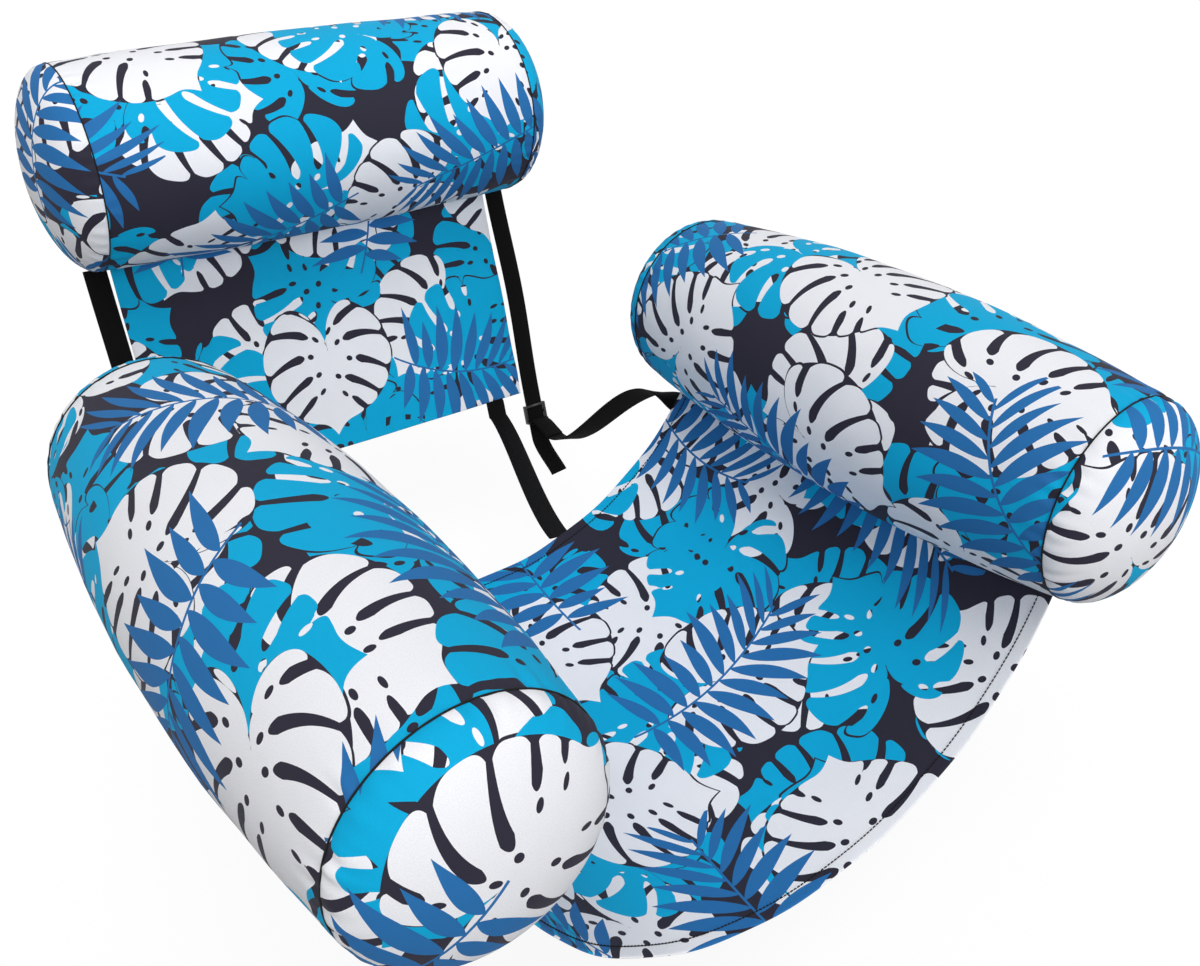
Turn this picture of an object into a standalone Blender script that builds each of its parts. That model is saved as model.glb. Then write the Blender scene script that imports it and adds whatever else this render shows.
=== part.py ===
# Water hammock: two side floats with a sling seat hung between them, and a backrest panel
# under a head float, held to the seat by webbing straps.
# Units are metres. X runs from the left float to the right float, Y from the front of the
# seat to the head float, and Z is up. The origin is midway between the two side floats, on
# the line through their axes.

import math

import bpy
import bmesh
from mathutils import Vector

# Side floats
SIDE_SPACING = 0.741
SIDE_LENGTH = 0.642
SIDE_END_RADIUS = 0.112
SIDE_MIDDLE_RADIUS = 0.135
SEAM_ANGLE = math.radians(20.0)

# Head float
HEAD_LENGTH = 0.604
HEAD_END_RADIUS = 0.128
HEAD_MIDDLE_RADIUS = 0.133
HEAD_Y = 0.748
HEAD_Z = 0.1945

# Every float
DOME_DEPTH = 0.055
DOME_FLAT_RADIUS = 0.020
DOME_ANGLES = (20.0, 40.0, 60.0)
FABRIC = 0.0010
BLADDER_FILM = 0.0005
GAP = 0.0003
PIPING_RADIUS = 0.0012
AROUND = 28
ALONG = 4
SMOOTH_BELOW = math.radians(35.0)

# Valve in the end of each float
STEM_RADIUS = 0.0065
STEM_BORE = 0.0045
STEM_RISE = 0.0080
STEM_CLEARANCE = 0.0009
FLANGE_RADIUS = 0.0170
FLANGE_THICKNESS = 0.0010
PLUG_HEAD_RADIUS = 0.0080
PLUG_HEAD_THICKNESS = 0.0020
PLUG_DEPTH = 0.0075
PLUG_TAPER = 0.85
KNOB_RADIUS = 0.0032
KNOB_RISE = 0.0024
TETHER_WIDTH = 0.0040
TETHER_THICKNESS = 0.0008
TETHER_REACH = 0.011
TETHER_RISE = 0.0032
TETHER_STEPS = 8
AROUND_VALVE = 16

# Sling seat
SLING_END_SETBACK = 0.020
SLING_SAG_FRONT = 0.236
SLING_SAG_REAR = 0.187
SLING_STEPS = 24
STITCH_INSET = 0.013
THREAD = 0.0008

# Backrest panel
PANEL_LENGTH = 0.322
PANEL_LEAN = math.radians(16.8)
PANEL_ROWS = 4

# Webbing and its fittings
WEBBING_WIDTH = 0.030
WEBBING = 0.0014
WEBBING_HELD_EDGE = 0.0005
STRAP_STEPS = 14
TAB_LENGTH = 0.026
TAB_FROM_PANEL_EDGE = 0.034
HINGE_STRAP_FROM_MIDDLE = 0.120
HINGE_STRAP_BELOW_PANEL = 0.0026
CORNER_PATCH_FROM_SEAM = 0.010
PATCH_LENGTH = 0.032
STRAP_BESIDE_PANEL = 0.005
SLIDER_BELOW_PANEL = 0.041
SLIDER_TRAVEL = 0.020
SLIDER_END_CLEARANCE = 0.003
SLIDER_CLEARANCE = 0.0006
SLIDER_LENGTH = 0.030
SLIDER_RAIL = 0.0040
SLIDER_BAR = 0.0040
SLIDER_BAR_DEPTH = 0.0020
LOOP_BAR_DEPTH = 0.0030
LOOP_REACH = 0.057
LOOP_DROP = 0.017
LOOP_SPREAD = 0.021
TAIL_REACH = (0.006, -0.048, -0.050)
TAIL_CURL = 0.7
TAIL_STEPS = 6
LOWER_STRAP_RISE = (0.004, 0.115, 0.020)
LOWER_STRAP_RUN_IN = 0.090
LOWER_STRAP_EARLY_TWIST = 0.6
HINGE_STRAP_DIP = (0.030, 0.110, -0.020)
HINGE_STRAP_RUN_IN = (0.040, 0.045)


for old in list(bpy.data.objects):
    bpy.data.objects.remove(old, do_unlink=True)


# Materials

def make_material(name, colour, roughness, coat=0.0):
    made = bpy.data.materials.new(name)
    made.use_nodes = True
    shader = made.node_tree.nodes["Principled BSDF"]
    shader.inputs["Base Color"].default_value = (*colour, 1.0)
    shader.inputs["Roughness"].default_value = roughness
    shader.inputs["Coat Weight"].default_value = coat
    made.diffuse_color = (*colour, 1.0)
    return made


printed_fabric = make_material("printed_polyester_fabric", (0.02, 0.43, 0.75), 0.75)
bladder_film = make_material("pvc_bladder_film", (0.72, 0.78, 0.80), 0.25, coat=0.3)
valve_plastic = make_material("clear_pvc_valve", (0.80, 0.85, 0.86), 0.20, coat=0.5)
black_webbing = make_material("black_polyester_webbing", (0.006, 0.006, 0.005), 0.80)
black_thread = make_material("black_sewing_thread", (0.004, 0.004, 0.004), 0.85)
black_plastic = make_material("black_moulded_plastic", (0.008, 0.008, 0.008), 0.45)


# Ways of making closed bodies

def add_body(name, points, faces, material, origin, smooth=True):
    """One closed mesh object whose origin is on the axis that its body turns or slides on."""
    mesh = bpy.data.meshes.new(name)
    mesh.from_pydata([tuple(Vector(p) - origin) for p in points], [], faces)
    work = bmesh.new()
    work.from_mesh(mesh)
    bmesh.ops.recalc_face_normals(work, faces=work.faces)
    work.to_mesh(mesh)
    work.free()
    mesh.materials.append(material)
    body = bpy.data.objects.new(name, mesh)
    body.location = origin
    bpy.context.collection.objects.link(body)
    if smooth:
        mesh.shade_smooth()
        mesh.set_sharp_from_angle(angle=SMOOTH_BELOW)
    return body


def turned(name, profile, centre, axis, first, material, origin, around=AROUND, ring=False):
    """A profile of (radius, distance along the axis), turned about the axis.

    The first line of points lies towards `first`. A ring's profile closes on itself, and
    any other starts and ends on the axis.
    """
    side = axis.cross(first)
    points = []
    rows = []
    for radius, along in profile:
        if radius == 0.0:
            rows.append([len(points)] * around)
            points.append(centre + axis * along)
            continue
        row = []
        for step in range(around):
            angle = 2.0 * math.pi * step / around
            row.append(len(points))
            outward = first * math.cos(angle) + side * math.sin(angle)
            points.append(centre + axis * along + outward * radius)
        rows.append(row)
    pairs = list(zip(rows, rows[1:]))
    if ring:
        pairs.append((rows[-1], rows[0]))
    faces = []
    for low, high in pairs:
        for step in range(around):
            after = (step + 1) % around
            corners = [low[step], low[after], high[after], high[step]]
            face = list(dict.fromkeys(corners))
            faces.append(face)
    return add_body(name, points, faces, material, origin)


def swept(name, sections, material, origin, smooth=True):
    """A bar through a row of sections that have the same number of corners."""
    points = [corner for section in sections for corner in section]
    corners = len(sections[0])
    faces = [list(range(corners))]
    for number in range(len(sections) - 1):
        start = number * corners
        for corner in range(corners):
            after = (corner + 1) % corners
            faces.append([start + corner, start + after,
                          start + corners + after, start + corners + corner])
    last = (len(sections) - 1) * corners
    faces.append([last + corner for corner in range(corners)])
    return add_body(name, points, faces, material, origin, smooth)


def band_sections(path, across, width, thickness, first_way=None, last_way=None):
    """Four corners at each point of a flat band; thickness is one value or one per point.

    The ends are cut square to the path, or to `first_way` and `last_way` where they are given.
    """
    sections = []
    for number, point in enumerate(path):
        before = path[max(number - 1, 0)]
        after = path[min(number + 1, len(path) - 1)]
        forward = (after - before).normalized()
        if number == 0 and first_way:
            forward = first_way
        if number == len(path) - 1 and last_way:
            forward = last_way
        wide = across[number] - forward * across[number].dot(forward)
        wide.normalize()
        face = forward.cross(wide)
        thick = thickness[number] if isinstance(thickness, list) else thickness
        half_wide = wide * width / 2.0
        half_thick = face * thick / 2.0
        sections.append([point + half_wide + half_thick, point - half_wide + half_thick,
                         point - half_wide - half_thick, point + half_wide - half_thick])
    return sections


def bend(start, pull_start, pull_end, end, steps):
    """Points of a cubic curve, both ends included."""
    points = []
    for step in range(steps + 1):
        t = step / steps
        points.append(start * (1 - t) ** 3 + pull_start * (3 * t * (1 - t) ** 2)
                      + pull_end * (3 * t * t * (1 - t)) + end * t ** 3)
    return points


def turn_across(start, end, steps, early):
    """Directions that swing from one width direction to another along a band.

    They swing evenly where `early` is 1, and sooner where it is less.
    """
    directions = []
    for step in range(steps + 1):
        t = (step / steps) ** early
        directions.append((start * (1 - t) + end * t).normalized())
    return directions


def sheet(name, grid, offset, material, origin):
    """A cloth with thickness, from a grid of middle points and a half-thickness at each."""
    rows = len(grid)
    columns = len(grid[0])
    points = []
    for side in (1.0, -1.0):
        for row in range(rows):
            for column in range(columns):
                points.append(grid[row][column] + offset[row][column] * side)

    def corner(side, row, column):
        return side * rows * columns + row * columns + column

    faces = []
    for row in range(rows - 1):
        for column in range(columns - 1):
            loop = [(row, column), (row, column + 1), (row + 1, column + 1), (row + 1, column)]
            faces.append([corner(0, *place) for place in loop])
            faces.append([corner(1, *place) for place in reversed(loop)])
    edge = [(0, column) for column in range(columns)]
    edge += [(row, columns - 1) for row in range(1, rows)]
    edge += [(rows - 1, column) for column in range(columns - 2, -1, -1)]
    edge += [(row, 0) for row in range(rows - 2, 0, -1)]
    for place, after in zip(edge, edge[1:] + edge[:1]):
        faces.append([corner(0, *place), corner(1, *place),
                      corner(1, *after), corner(0, *after)])
    return add_body(name, points, faces, material, origin)


def blocks(name, cuts, filled, place, material, origin):
    """One body from the filled cells of a grid cut at the given distances on three axes."""
    points = []
    numbers = {}
    faces = []

    def number_of(corner):
        if corner not in numbers:
            numbers[corner] = len(points)
            points.append(place(*[cuts[way][corner[way]] for way in range(3)]))
        return numbers[corner]

    for cell in sorted(filled):
        for way in range(3):
            for step in (0, 1):
                beside = list(cell)
                beside[way] += 1 if step else -1
                if tuple(beside) in filled:
                    continue
                one, two = [other for other in range(3) if other != way]
                face = []
                for more_one, more_two in ((0, 0), (1, 0), (1, 1), (0, 1)):
                    corner = list(cell)
                    corner[way] += step
                    corner[one] += more_one
                    corner[two] += more_two
                    face.append(number_of(tuple(corner)))
                faces.append(face)
    return add_body(name, points, faces, material, origin, smooth=False)


# Shape of a float

def ring_places(length):
    """Distances along a float's axis of the rings that shape it."""
    return [length * (step / ALONG - 0.5) for step in range(ALONG + 1)]


def ring_radius(along, length, end_radius, middle_radius):
    """Radius of the fabric outside at one ring of a float that swells to its middle."""
    share = 2.0 * along / length
    return middle_radius - (middle_radius - end_radius) * share * share


def float_radius(along, length, end_radius, middle_radius):
    """Radius of the fabric outside at any place between two rings."""
    places = ring_places(length)
    for low, high in zip(places, places[1:]):
        if along <= high or high == places[-1]:
            share = (along - low) / (high - low)
            at_low = ring_radius(low, length, end_radius, middle_radius)
            at_high = ring_radius(high, length, end_radius, middle_radius)
            return at_low + (at_high - at_low) * share
    return end_radius


def side_radius(along):
    return float_radius(along, SIDE_LENGTH, SIDE_END_RADIUS, SIDE_MIDDLE_RADIUS)


def head_radius(along):
    return float_radius(along, HEAD_LENGTH, HEAD_END_RADIUS, HEAD_MIDDLE_RADIUS)


def dome(radius, depth, base):
    """Points of a puffed float end, from beside its rim to its flat centre."""
    points = []
    for angle in DOME_ANGLES:
        turn = math.radians(angle)
        points.append((radius * math.cos(turn), base + depth * math.sin(turn)))
    flat = base + depth * math.sqrt(1.0 - (DOME_FLAT_RADIUS / radius) ** 2)
    points.append((DOME_FLAT_RADIUS, flat))
    return points


def flipped(profile):
    """The same profile for the other end of a float."""
    return [(radius, -along) for radius, along in profile]


def make_float(name, centre, axis, seam, length, end_radius, middle_radius, origin, ends):
    """Fabric sleeve, two fabric caps with piping, inner bladder and valve of one float.

    The valve is at the far end of the axis. `ends` names the near and the far end.
    """
    near, far = ends
    places = ring_places(length)
    outside = [(ring_radius(a, length, end_radius, middle_radius), a) for a in places]
    inside = [(radius - FABRIC, a) for radius, a in reversed(outside)]
    turned(f"{name}_sleeve", outside + inside, centre, axis, seam, printed_fabric, origin,
           ring=True)

    base = length / 2.0 + GAP
    outer_dome = dome(end_radius, DOME_DEPTH, base)
    inner_dome = dome(end_radius - FABRIC, DOME_DEPTH - FABRIC, base)
    outer_end = outer_dome[-1][1]
    inner_end = inner_dome[-1][1]
    rims = [(end_radius - FABRIC, base), (end_radius, base)]
    closed_cap = [(0.0, inner_end)] + inner_dome[::-1] + rims + outer_dome + [(0.0, outer_end)]
    turned(f"{name}_{near}_cap", flipped(closed_cap), centre, axis, seam, printed_fabric, origin)
    hole = STEM_RADIUS + STEM_CLEARANCE
    open_cap = [(hole, inner_end)] + inner_dome[::-1] + rims + outer_dome + [(hole, outer_end)]
    turned(f"{name}_{far}_cap", open_cap, centre, axis, seam, printed_fabric, origin, ring=True)

    seat = end_radius + GAP + PIPING_RADIUS
    middle = length / 2.0 + GAP / 2.0
    cord = [(seat - PIPING_RADIUS, middle), (seat, middle + PIPING_RADIUS),
            (seat + PIPING_RADIUS, middle), (seat, middle - PIPING_RADIUS)]
    turned(f"{name}_{near}_piping", flipped(cord), centre, axis, seam, black_thread, origin,
           ring=True)
    turned(f"{name}_{far}_piping", cord, centre, axis, seam, black_thread, origin, ring=True)

    def film(inset):
        reach = FABRIC + GAP + inset
        tube = [(radius - reach, a) for radius, a in outside]
        end = dome(end_radius - reach, DOME_DEPTH - reach, base)
        return [(0.0, -end[-1][1])] + flipped(end)[::-1] + tube + end

    skin = film(0.0)
    lining = film(BLADDER_FILM)
    skin_end = skin[-1][1]
    lining_end = lining[-1][1]
    neck = STEM_RADIUS + GAP
    bladder = skin + [(neck, skin_end), (neck, lining_end)] + lining[::-1]
    turned(f"{name}_bladder", bladder, centre, axis, seam, bladder_film, origin)

    flange_top = lining_end - GAP
    flange_foot = flange_top - FLANGE_THICKNESS
    stem_end = outer_end + STEM_RISE
    stem = [(STEM_BORE, flange_foot), (FLANGE_RADIUS, flange_foot),
            (FLANGE_RADIUS, flange_top), (STEM_RADIUS, flange_top),
            (STEM_RADIUS, stem_end), (STEM_BORE, stem_end)]
    turned(f"{name}_valve_stem", stem, centre, axis, seam, valve_plastic, origin,
           around=AROUND_VALVE, ring=True)

    head_foot = stem_end + GAP
    head_top = head_foot + PLUG_HEAD_THICKNESS
    stopper = STEM_BORE - GAP
    plug = [(0.0, stem_end - PLUG_DEPTH), (stopper * PLUG_TAPER, stem_end - PLUG_DEPTH),
            (stopper, stem_end - PLUG_DEPTH * PLUG_TAPER), (stopper, head_foot),
            (PLUG_HEAD_RADIUS, head_foot), (PLUG_HEAD_RADIUS, head_top),
            (KNOB_RADIUS, head_top), (KNOB_RADIUS, head_top + KNOB_RISE),
            (0.0, head_top + KNOB_RISE)]
    plug_origin = centre + axis * stem_end
    turned(f"{name}_valve_plug", plug, centre, axis, seam, valve_plastic, plug_origin,
           around=AROUND_VALVE)

    def beside(radius, along):
        return centre + seam * radius + axis * along

    low = outer_end + TETHER_RISE
    high = (head_foot + head_top) / 2.0
    reach = PLUG_HEAD_RADIUS + TETHER_REACH
    path = bend(beside(STEM_RADIUS + GAP, low), beside(reach, low),
                beside(reach, high), beside(PLUG_HEAD_RADIUS + GAP, high), TETHER_STEPS)
    across = [axis.cross(seam)] * len(path)
    sections = band_sections(path, across, TETHER_WIDTH, TETHER_THICKNESS)
    swept(f"{name}_valve_tether", sections, valve_plastic, origin)


# The three floats

side_directions = {"left": -1.0, "right": 1.0}
forward_axis = Vector((0.0, 1.0, 0.0))
for side, way in side_directions.items():
    seam = Vector((-way * math.sin(SEAM_ANGLE), 0.0, -math.cos(SEAM_ANGLE)))
    centre = Vector((way * SIDE_SPACING / 2.0, 0.0, 0.0))
    make_float(f"{side}_float", centre, forward_axis, seam, SIDE_LENGTH, SIDE_END_RADIUS,
               SIDE_MIDDLE_RADIUS, centre + seam * SIDE_MIDDLE_RADIUS, ("front", "rear"))

down = Vector((0.0, 0.0, -1.0))
head_centre = Vector((0.0, HEAD_Y, HEAD_Z))
head_hinge = head_centre + down * HEAD_MIDDLE_RADIUS
make_float("head_float", head_centre, Vector((1.0, 0.0, 0.0)), down, HEAD_LENGTH,
           HEAD_END_RADIUS, HEAD_MIDDLE_RADIUS, head_hinge, ("left", "right"))


# Sling seat, an arc of cloth between the seams under the side floats

seat_origin = Vector((0.0, 0.0, 0.0))
sling_end = SIDE_LENGTH / 2.0 - SLING_END_SETBACK


def sling_arc(y):
    """Half width, height of the arc's centre, radius and half angle of the sling at y."""
    reach = side_radius(y) + GAP
    half_width = SIDE_SPACING / 2.0 - reach * math.sin(SEAM_ANGLE)
    seam_height = -reach * math.cos(SEAM_ANGLE)
    share = (y + sling_end) / (2.0 * sling_end)
    sag = SLING_SAG_FRONT + (SLING_SAG_REAR - SLING_SAG_FRONT) * share
    radius = (half_width ** 2 + sag ** 2) / (2.0 * sag)
    return half_width, seam_height - sag + radius, radius, math.asin(half_width / radius)


def sling_point(y, angle, lift=0.0):
    """A place on the sling, `lift` above its middle layer, at an angle from its lowest line."""
    centre_height, radius = sling_arc(y)[1:3]
    reach = radius - lift
    return Vector((reach * math.sin(angle), y, centre_height - reach * math.cos(angle)))


sling_rows = [-sling_end] + ring_places(SIDE_LENGTH)[1:-1]
sling_rows += [sling_end - PATCH_LENGTH, sling_end]
sling_grid = []
sling_offset = []
for y in sling_rows:
    half_angle = sling_arc(y)[3]
    angles = [half_angle * (2.0 * step / SLING_STEPS - 1.0) for step in range(SLING_STEPS + 1)]
    sling_grid.append([sling_point(y, angle) for angle in angles])
    sling_offset.append([sling_point(y, angle, FABRIC / 2.0) - sling_point(y, angle)
                         for angle in angles])
sheet("seat_sling", sling_grid, sling_offset, printed_fabric, seat_origin)


def on_cloth(y, share, lift=0.0):
    """A place `lift` above the sling's middle layer, at y and at a share of its half angle.

    The cloth is straight between its rows and columns, and so is the place.
    """
    row = max(number for number, place in enumerate(sling_rows[:-1]) if place <= y)
    down_rows = (y - sling_rows[row]) / (sling_rows[row + 1] - sling_rows[row])
    columns = (share + 1.0) / 2.0 * SLING_STEPS
    column = min(int(columns), SLING_STEPS - 1)
    over = columns - column

    def between(grid):
        ends = [grid[line][column].lerp(grid[line][column + 1], over) for line in (row, row + 1)]
        return ends[0].lerp(ends[1], down_rows)

    return between(sling_grid) + between(sling_offset) * (lift / (FABRIC / 2.0))


def cloth_patch(name, y_from, y_to, share_from, share_to):
    """A square of webbing that lies under the sling and bends where the cloth bends."""
    places = [2.0 * step / SLING_STEPS - 1.0 for step in range(SLING_STEPS + 1)]
    shares = [share_from] + [place for place in places if share_from < place < share_to]
    shares.append(share_to)
    near = -(FABRIC / 2.0 + GAP)
    sections = []
    for y in (y_from, y_to):
        sections.append([on_cloth(y, share, near) for share in shares]
                        + [on_cloth(y, share, near - WEBBING) for share in reversed(shares)])
    swept(name, sections, black_webbing, seat_origin, smooth=False)


# A line of thread lies on the cloth just inside each free edge of the sling.
for end_name, y in (("front", STITCH_INSET - sling_end), ("rear", sling_end - STITCH_INSET)):
    sections = []
    for step in range(1, SLING_STEPS):
        share = 2.0 * step / SLING_STEPS - 1.0
        foot = on_cloth(y, share, FABRIC / 2.0 + GAP)
        top = on_cloth(y, share, FABRIC / 2.0 + GAP + THREAD)
        half = forward_axis * THREAD / 2.0
        sections.append([foot + half, foot - half, top - half, top + half])
    swept(f"seat_{end_name}_stitching", sections, black_thread, seat_origin)


# Backrest panel, flat cloth from the seam under the head float to its foot

def sling_share(x, y):
    """Share of the sling's half angle at which its arc is x away from the middle."""
    radius, half_angle = sling_arc(y)[2:]
    return math.asin(x / radius) / half_angle


hinge_share = sling_share(HINGE_STRAP_FROM_MIDDLE, sling_end)
backrest_origin = Vector((0.0, sling_end + GAP, on_cloth(sling_end, hinge_share).z))
panel_fall = Vector((0.0, -math.sin(PANEL_LEAN), -math.cos(PANEL_LEAN)))
panel_front = Vector((0.0, panel_fall.z, -panel_fall.y))
panel_foot = head_hinge + panel_fall * PANEL_LENGTH
strap_x = HEAD_LENGTH / 2.0 + PIPING_RADIUS
panel_half_width = strap_x - WEBBING_WIDTH / 2.0 - STRAP_BESIDE_PANEL
panel_columns = [-panel_half_width] + ring_places(HEAD_LENGTH)[1:-1] + [panel_half_width]
panel_grid = []
panel_offset = []
for row in range(PANEL_ROWS + 1):
    line = []
    for x in panel_columns:
        top = Vector((x, HEAD_Y, HEAD_Z - head_radius(x) - GAP))
        foot = Vector((x, panel_foot.y, panel_foot.z))
        line.append(top.lerp(foot, row / PANEL_ROWS))
    panel_grid.append(line)
    panel_offset.append([forward_axis * FABRIC / 2.0] * len(line))
sheet("back_panel", panel_grid, panel_offset, printed_fabric, backrest_origin)


# Straps on both sides

def hinge_strap(side, way, out):
    """Webbing from the rear edge of the sling back to a folded tab under the panel's foot."""
    tab_x = way * (panel_half_width - TAB_FROM_PANEL_EDGE - WEBBING_WIDTH / 2.0)
    tab_top = Vector((tab_x, panel_foot.y, panel_foot.z - GAP))
    tab_foot = tab_top + panel_fall * TAB_LENGTH
    half_wide = out * WEBBING_WIDTH / 2.0
    one_layer_level = forward_axis * WEBBING / math.cos(PANEL_LEAN)
    one_layer_square = panel_front * -WEBBING
    tab_sections = []
    for place, layer in ((tab_top, one_layer_level), (tab_foot, one_layer_square)):
        tab_sections.append([place + half_wide + layer, place - half_wide + layer,
                             place - half_wide - layer, place + half_wide - layer])
    swept(f"{side}_panel_tab", tab_sections, black_webbing, backrest_origin, smooth=False)

    anchor = on_cloth(sling_end, way * hinge_share) + forward_axis * GAP
    sewn_on = panel_front * (WEBBING + GAP + WEBBING / 2.0)
    sewn_foot = tab_foot + sewn_on
    sewn_top = tab_top + panel_fall * HINGE_STRAP_BELOW_PANEL + sewn_on
    dip = anchor + Vector(HINGE_STRAP_DIP) * Vector((way, 1.0, 1.0))
    run_down, run_forward = HINGE_STRAP_RUN_IN
    run_in = sewn_foot + panel_fall * run_down + panel_front * run_forward
    path = bend(anchor, dip, run_in, sewn_foot, STRAP_STEPS) + [sewn_top]
    thickness = [WEBBING_HELD_EDGE] + [WEBBING] * (len(path) - 1)
    sections = band_sections(path, [out] * len(path), WEBBING_WIDTH, thickness, forward_axis)
    swept(f"{side}_hinge_strap", sections, black_webbing, backrest_origin)

    edges = [sling_share(HINGE_STRAP_FROM_MIDDLE + move, sling_end) * way
             for move in (-WEBBING_WIDTH / 2.0, WEBBING_WIDTH / 2.0)]
    cloth_patch(f"{side}_hinge_strap_patch", sling_end - PATCH_LENGTH, sling_end, *sorted(edges))


def recline_strap(side, way, out):
    """Webbing that falls from the head float's end seam, through the slider, to its tail."""
    piping_foot = HEAD_Z - HEAD_END_RADIUS - GAP - 2.0 * PIPING_RADIUS
    strap_top = Vector((way * strap_x, HEAD_Y, piping_foot - GAP))
    slider_place = strap_top + panel_fall * (PANEL_LENGTH + SLIDER_BELOW_PANEL)
    slider_reach = SLIDER_LENGTH / 2.0 + SLIDER_TRAVEL + SLIDER_END_CLEARANCE
    straight_end = slider_place + panel_fall * slider_reach
    tail_end = straight_end + Vector(TAIL_REACH) * Vector((way, 1.0, 1.0))
    tail_pull = (tail_end - straight_end).length / 3.0
    path = [strap_top, strap_top.lerp(slider_place, 0.5), slider_place]
    path += bend(straight_end, straight_end + panel_fall * tail_pull,
                 straight_end.lerp(tail_end, TAIL_CURL), tail_end, TAIL_STEPS)
    sections = band_sections(path, [out] * len(path), WEBBING_WIDTH, WEBBING)
    swept(f"{side}_recline_strap", sections, black_webbing, backrest_origin)
    return slider_place


def slider_and_loop(side, out, slider_place):
    """Ladder slider on the recline strap, and the folded webbing loop on its lower bar."""
    inner = WEBBING_WIDTH / 2.0 + SLIDER_CLEARANCE
    end = SLIDER_LENGTH / 2.0
    front = WEBBING / 2.0 + GAP
    loop_bar = front + WEBBING + SLIDER_CLEARANCE
    across_cuts = (-inner - SLIDER_RAIL, -inner, inner, inner + SLIDER_RAIL)
    along_cuts = (-end, SLIDER_BAR - end, -SLIDER_BAR / 2.0, SLIDER_BAR / 2.0,
                  end - SLIDER_BAR, end)
    depth_cuts = (-front - SLIDER_BAR_DEPTH, -front, front, loop_bar, loop_bar + LOOP_BAR_DEPTH)
    rails = {(rail, along, depth) for rail in (0, 2) for along in range(5) for depth in range(3)}
    loop_bar_cells = {(across, 4, 3) for across in range(3)}
    strap_bars = {(1, 0, 2), (1, 2, 0)}

    def on_slider(across, along, depth):
        return slider_place + out * across + panel_fall * along + panel_front * depth

    blocks(f"{side}_slider", (across_cuts, along_cuts, depth_cuts),
           rails | loop_bar_cells | strap_bars, on_slider, black_plastic, slider_place)

    clear = WEBBING / 2.0 + GAP
    slant = clear * math.sqrt(0.5)
    bar_top = end - SLIDER_BAR
    bar_front = loop_bar + LOOP_BAR_DEPTH
    layer = Vector((0.0, 0.0, clear - GAP / 2.0))
    loop_end = slider_place + Vector((0.0, -LOOP_REACH, -LOOP_DROP))
    sewn = on_slider(0.0, end, LOOP_SPREAD)
    round_bar = [(bar_top - clear, bar_front), (bar_top - clear, loop_bar),
                 (bar_top - slant, loop_bar - slant), (bar_top, loop_bar - clear),
                 (end, loop_bar - clear), (end + slant, loop_bar - slant),
                 (end + clear, loop_bar), (end + clear, bar_front)]
    path = [loop_end + layer, sewn + layer]
    path += [on_slider(0.0, along, depth) for along, depth in round_bar]
    path += [sewn - layer, loop_end - layer]
    sections = band_sections(path, [out] * len(path), WEBBING_WIDTH, WEBBING,
                             forward_axis, -forward_axis)
    swept(f"{side}_strap_loop", sections, black_webbing, backrest_origin)
    return loop_end


def lower_strap(side, way, out, loop_end):
    """Webbing from a patch at the sling's rear corner to the loop on the slider."""
    radius, half_angle = sling_arc(sling_end)[2:]
    patch_edge = 1.0 - CORNER_PATCH_FROM_SEAM / radius / half_angle
    patch_end = patch_edge - WEBBING_WIDTH / radius / half_angle
    edges = sorted((way * patch_edge, way * patch_end))
    cloth_patch(f"{side}_corner_patch", sling_end - PATCH_LENGTH, sling_end, *edges)

    middle_share = way * (patch_edge + patch_end) / 2.0
    below = -(FABRIC / 2.0 + GAP + WEBBING / 2.0)
    start = on_cloth(sling_end, middle_share, below) + forward_axis * GAP
    start_across = (on_cloth(sling_end, way * patch_edge) - on_cloth(sling_end, way * patch_end))
    start_across.normalize()
    rise = start + Vector(LOWER_STRAP_RISE) * Vector((way, 1.0, 1.0))
    end = loop_end - forward_axis * GAP
    run_in = end - forward_axis * LOWER_STRAP_RUN_IN
    path = bend(start, rise, run_in, end, STRAP_STEPS)
    across = turn_across(start_across, out, STRAP_STEPS, LOWER_STRAP_EARLY_TWIST)
    sections = band_sections(path, across, WEBBING_WIDTH, WEBBING, forward_axis, forward_axis)
    swept(f"{side}_lower_strap", sections, black_webbing, seat_origin)


for side, way in side_directions.items():
    out = Vector((way, 0.0, 0.0))
    hinge_strap(side, way, out)
    slider_place = recline_strap(side, way, out)
    loop_end = slider_and_loop(side, out, slider_place)
    lower_strap(side, way, out, loop_end)
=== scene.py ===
# %% [markdown]
# A water hammock lies on three inflated floats. Each float is a vinyl bladder in a cover of
# printed polyester, a sling of the same cloth hangs between the two side floats, and a back
# panel hangs from the head float. Black webbing ties the panel to the seat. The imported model
# already holds every solid at its real size, so this script only dresses it: it makes the
# cloth, the print, the webbing and the valves, and it leaves every measure alone.

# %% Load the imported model
import math
from typing import NamedTuple

import bmesh
import bpy
import numpy as np
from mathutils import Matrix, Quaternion, Vector


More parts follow.
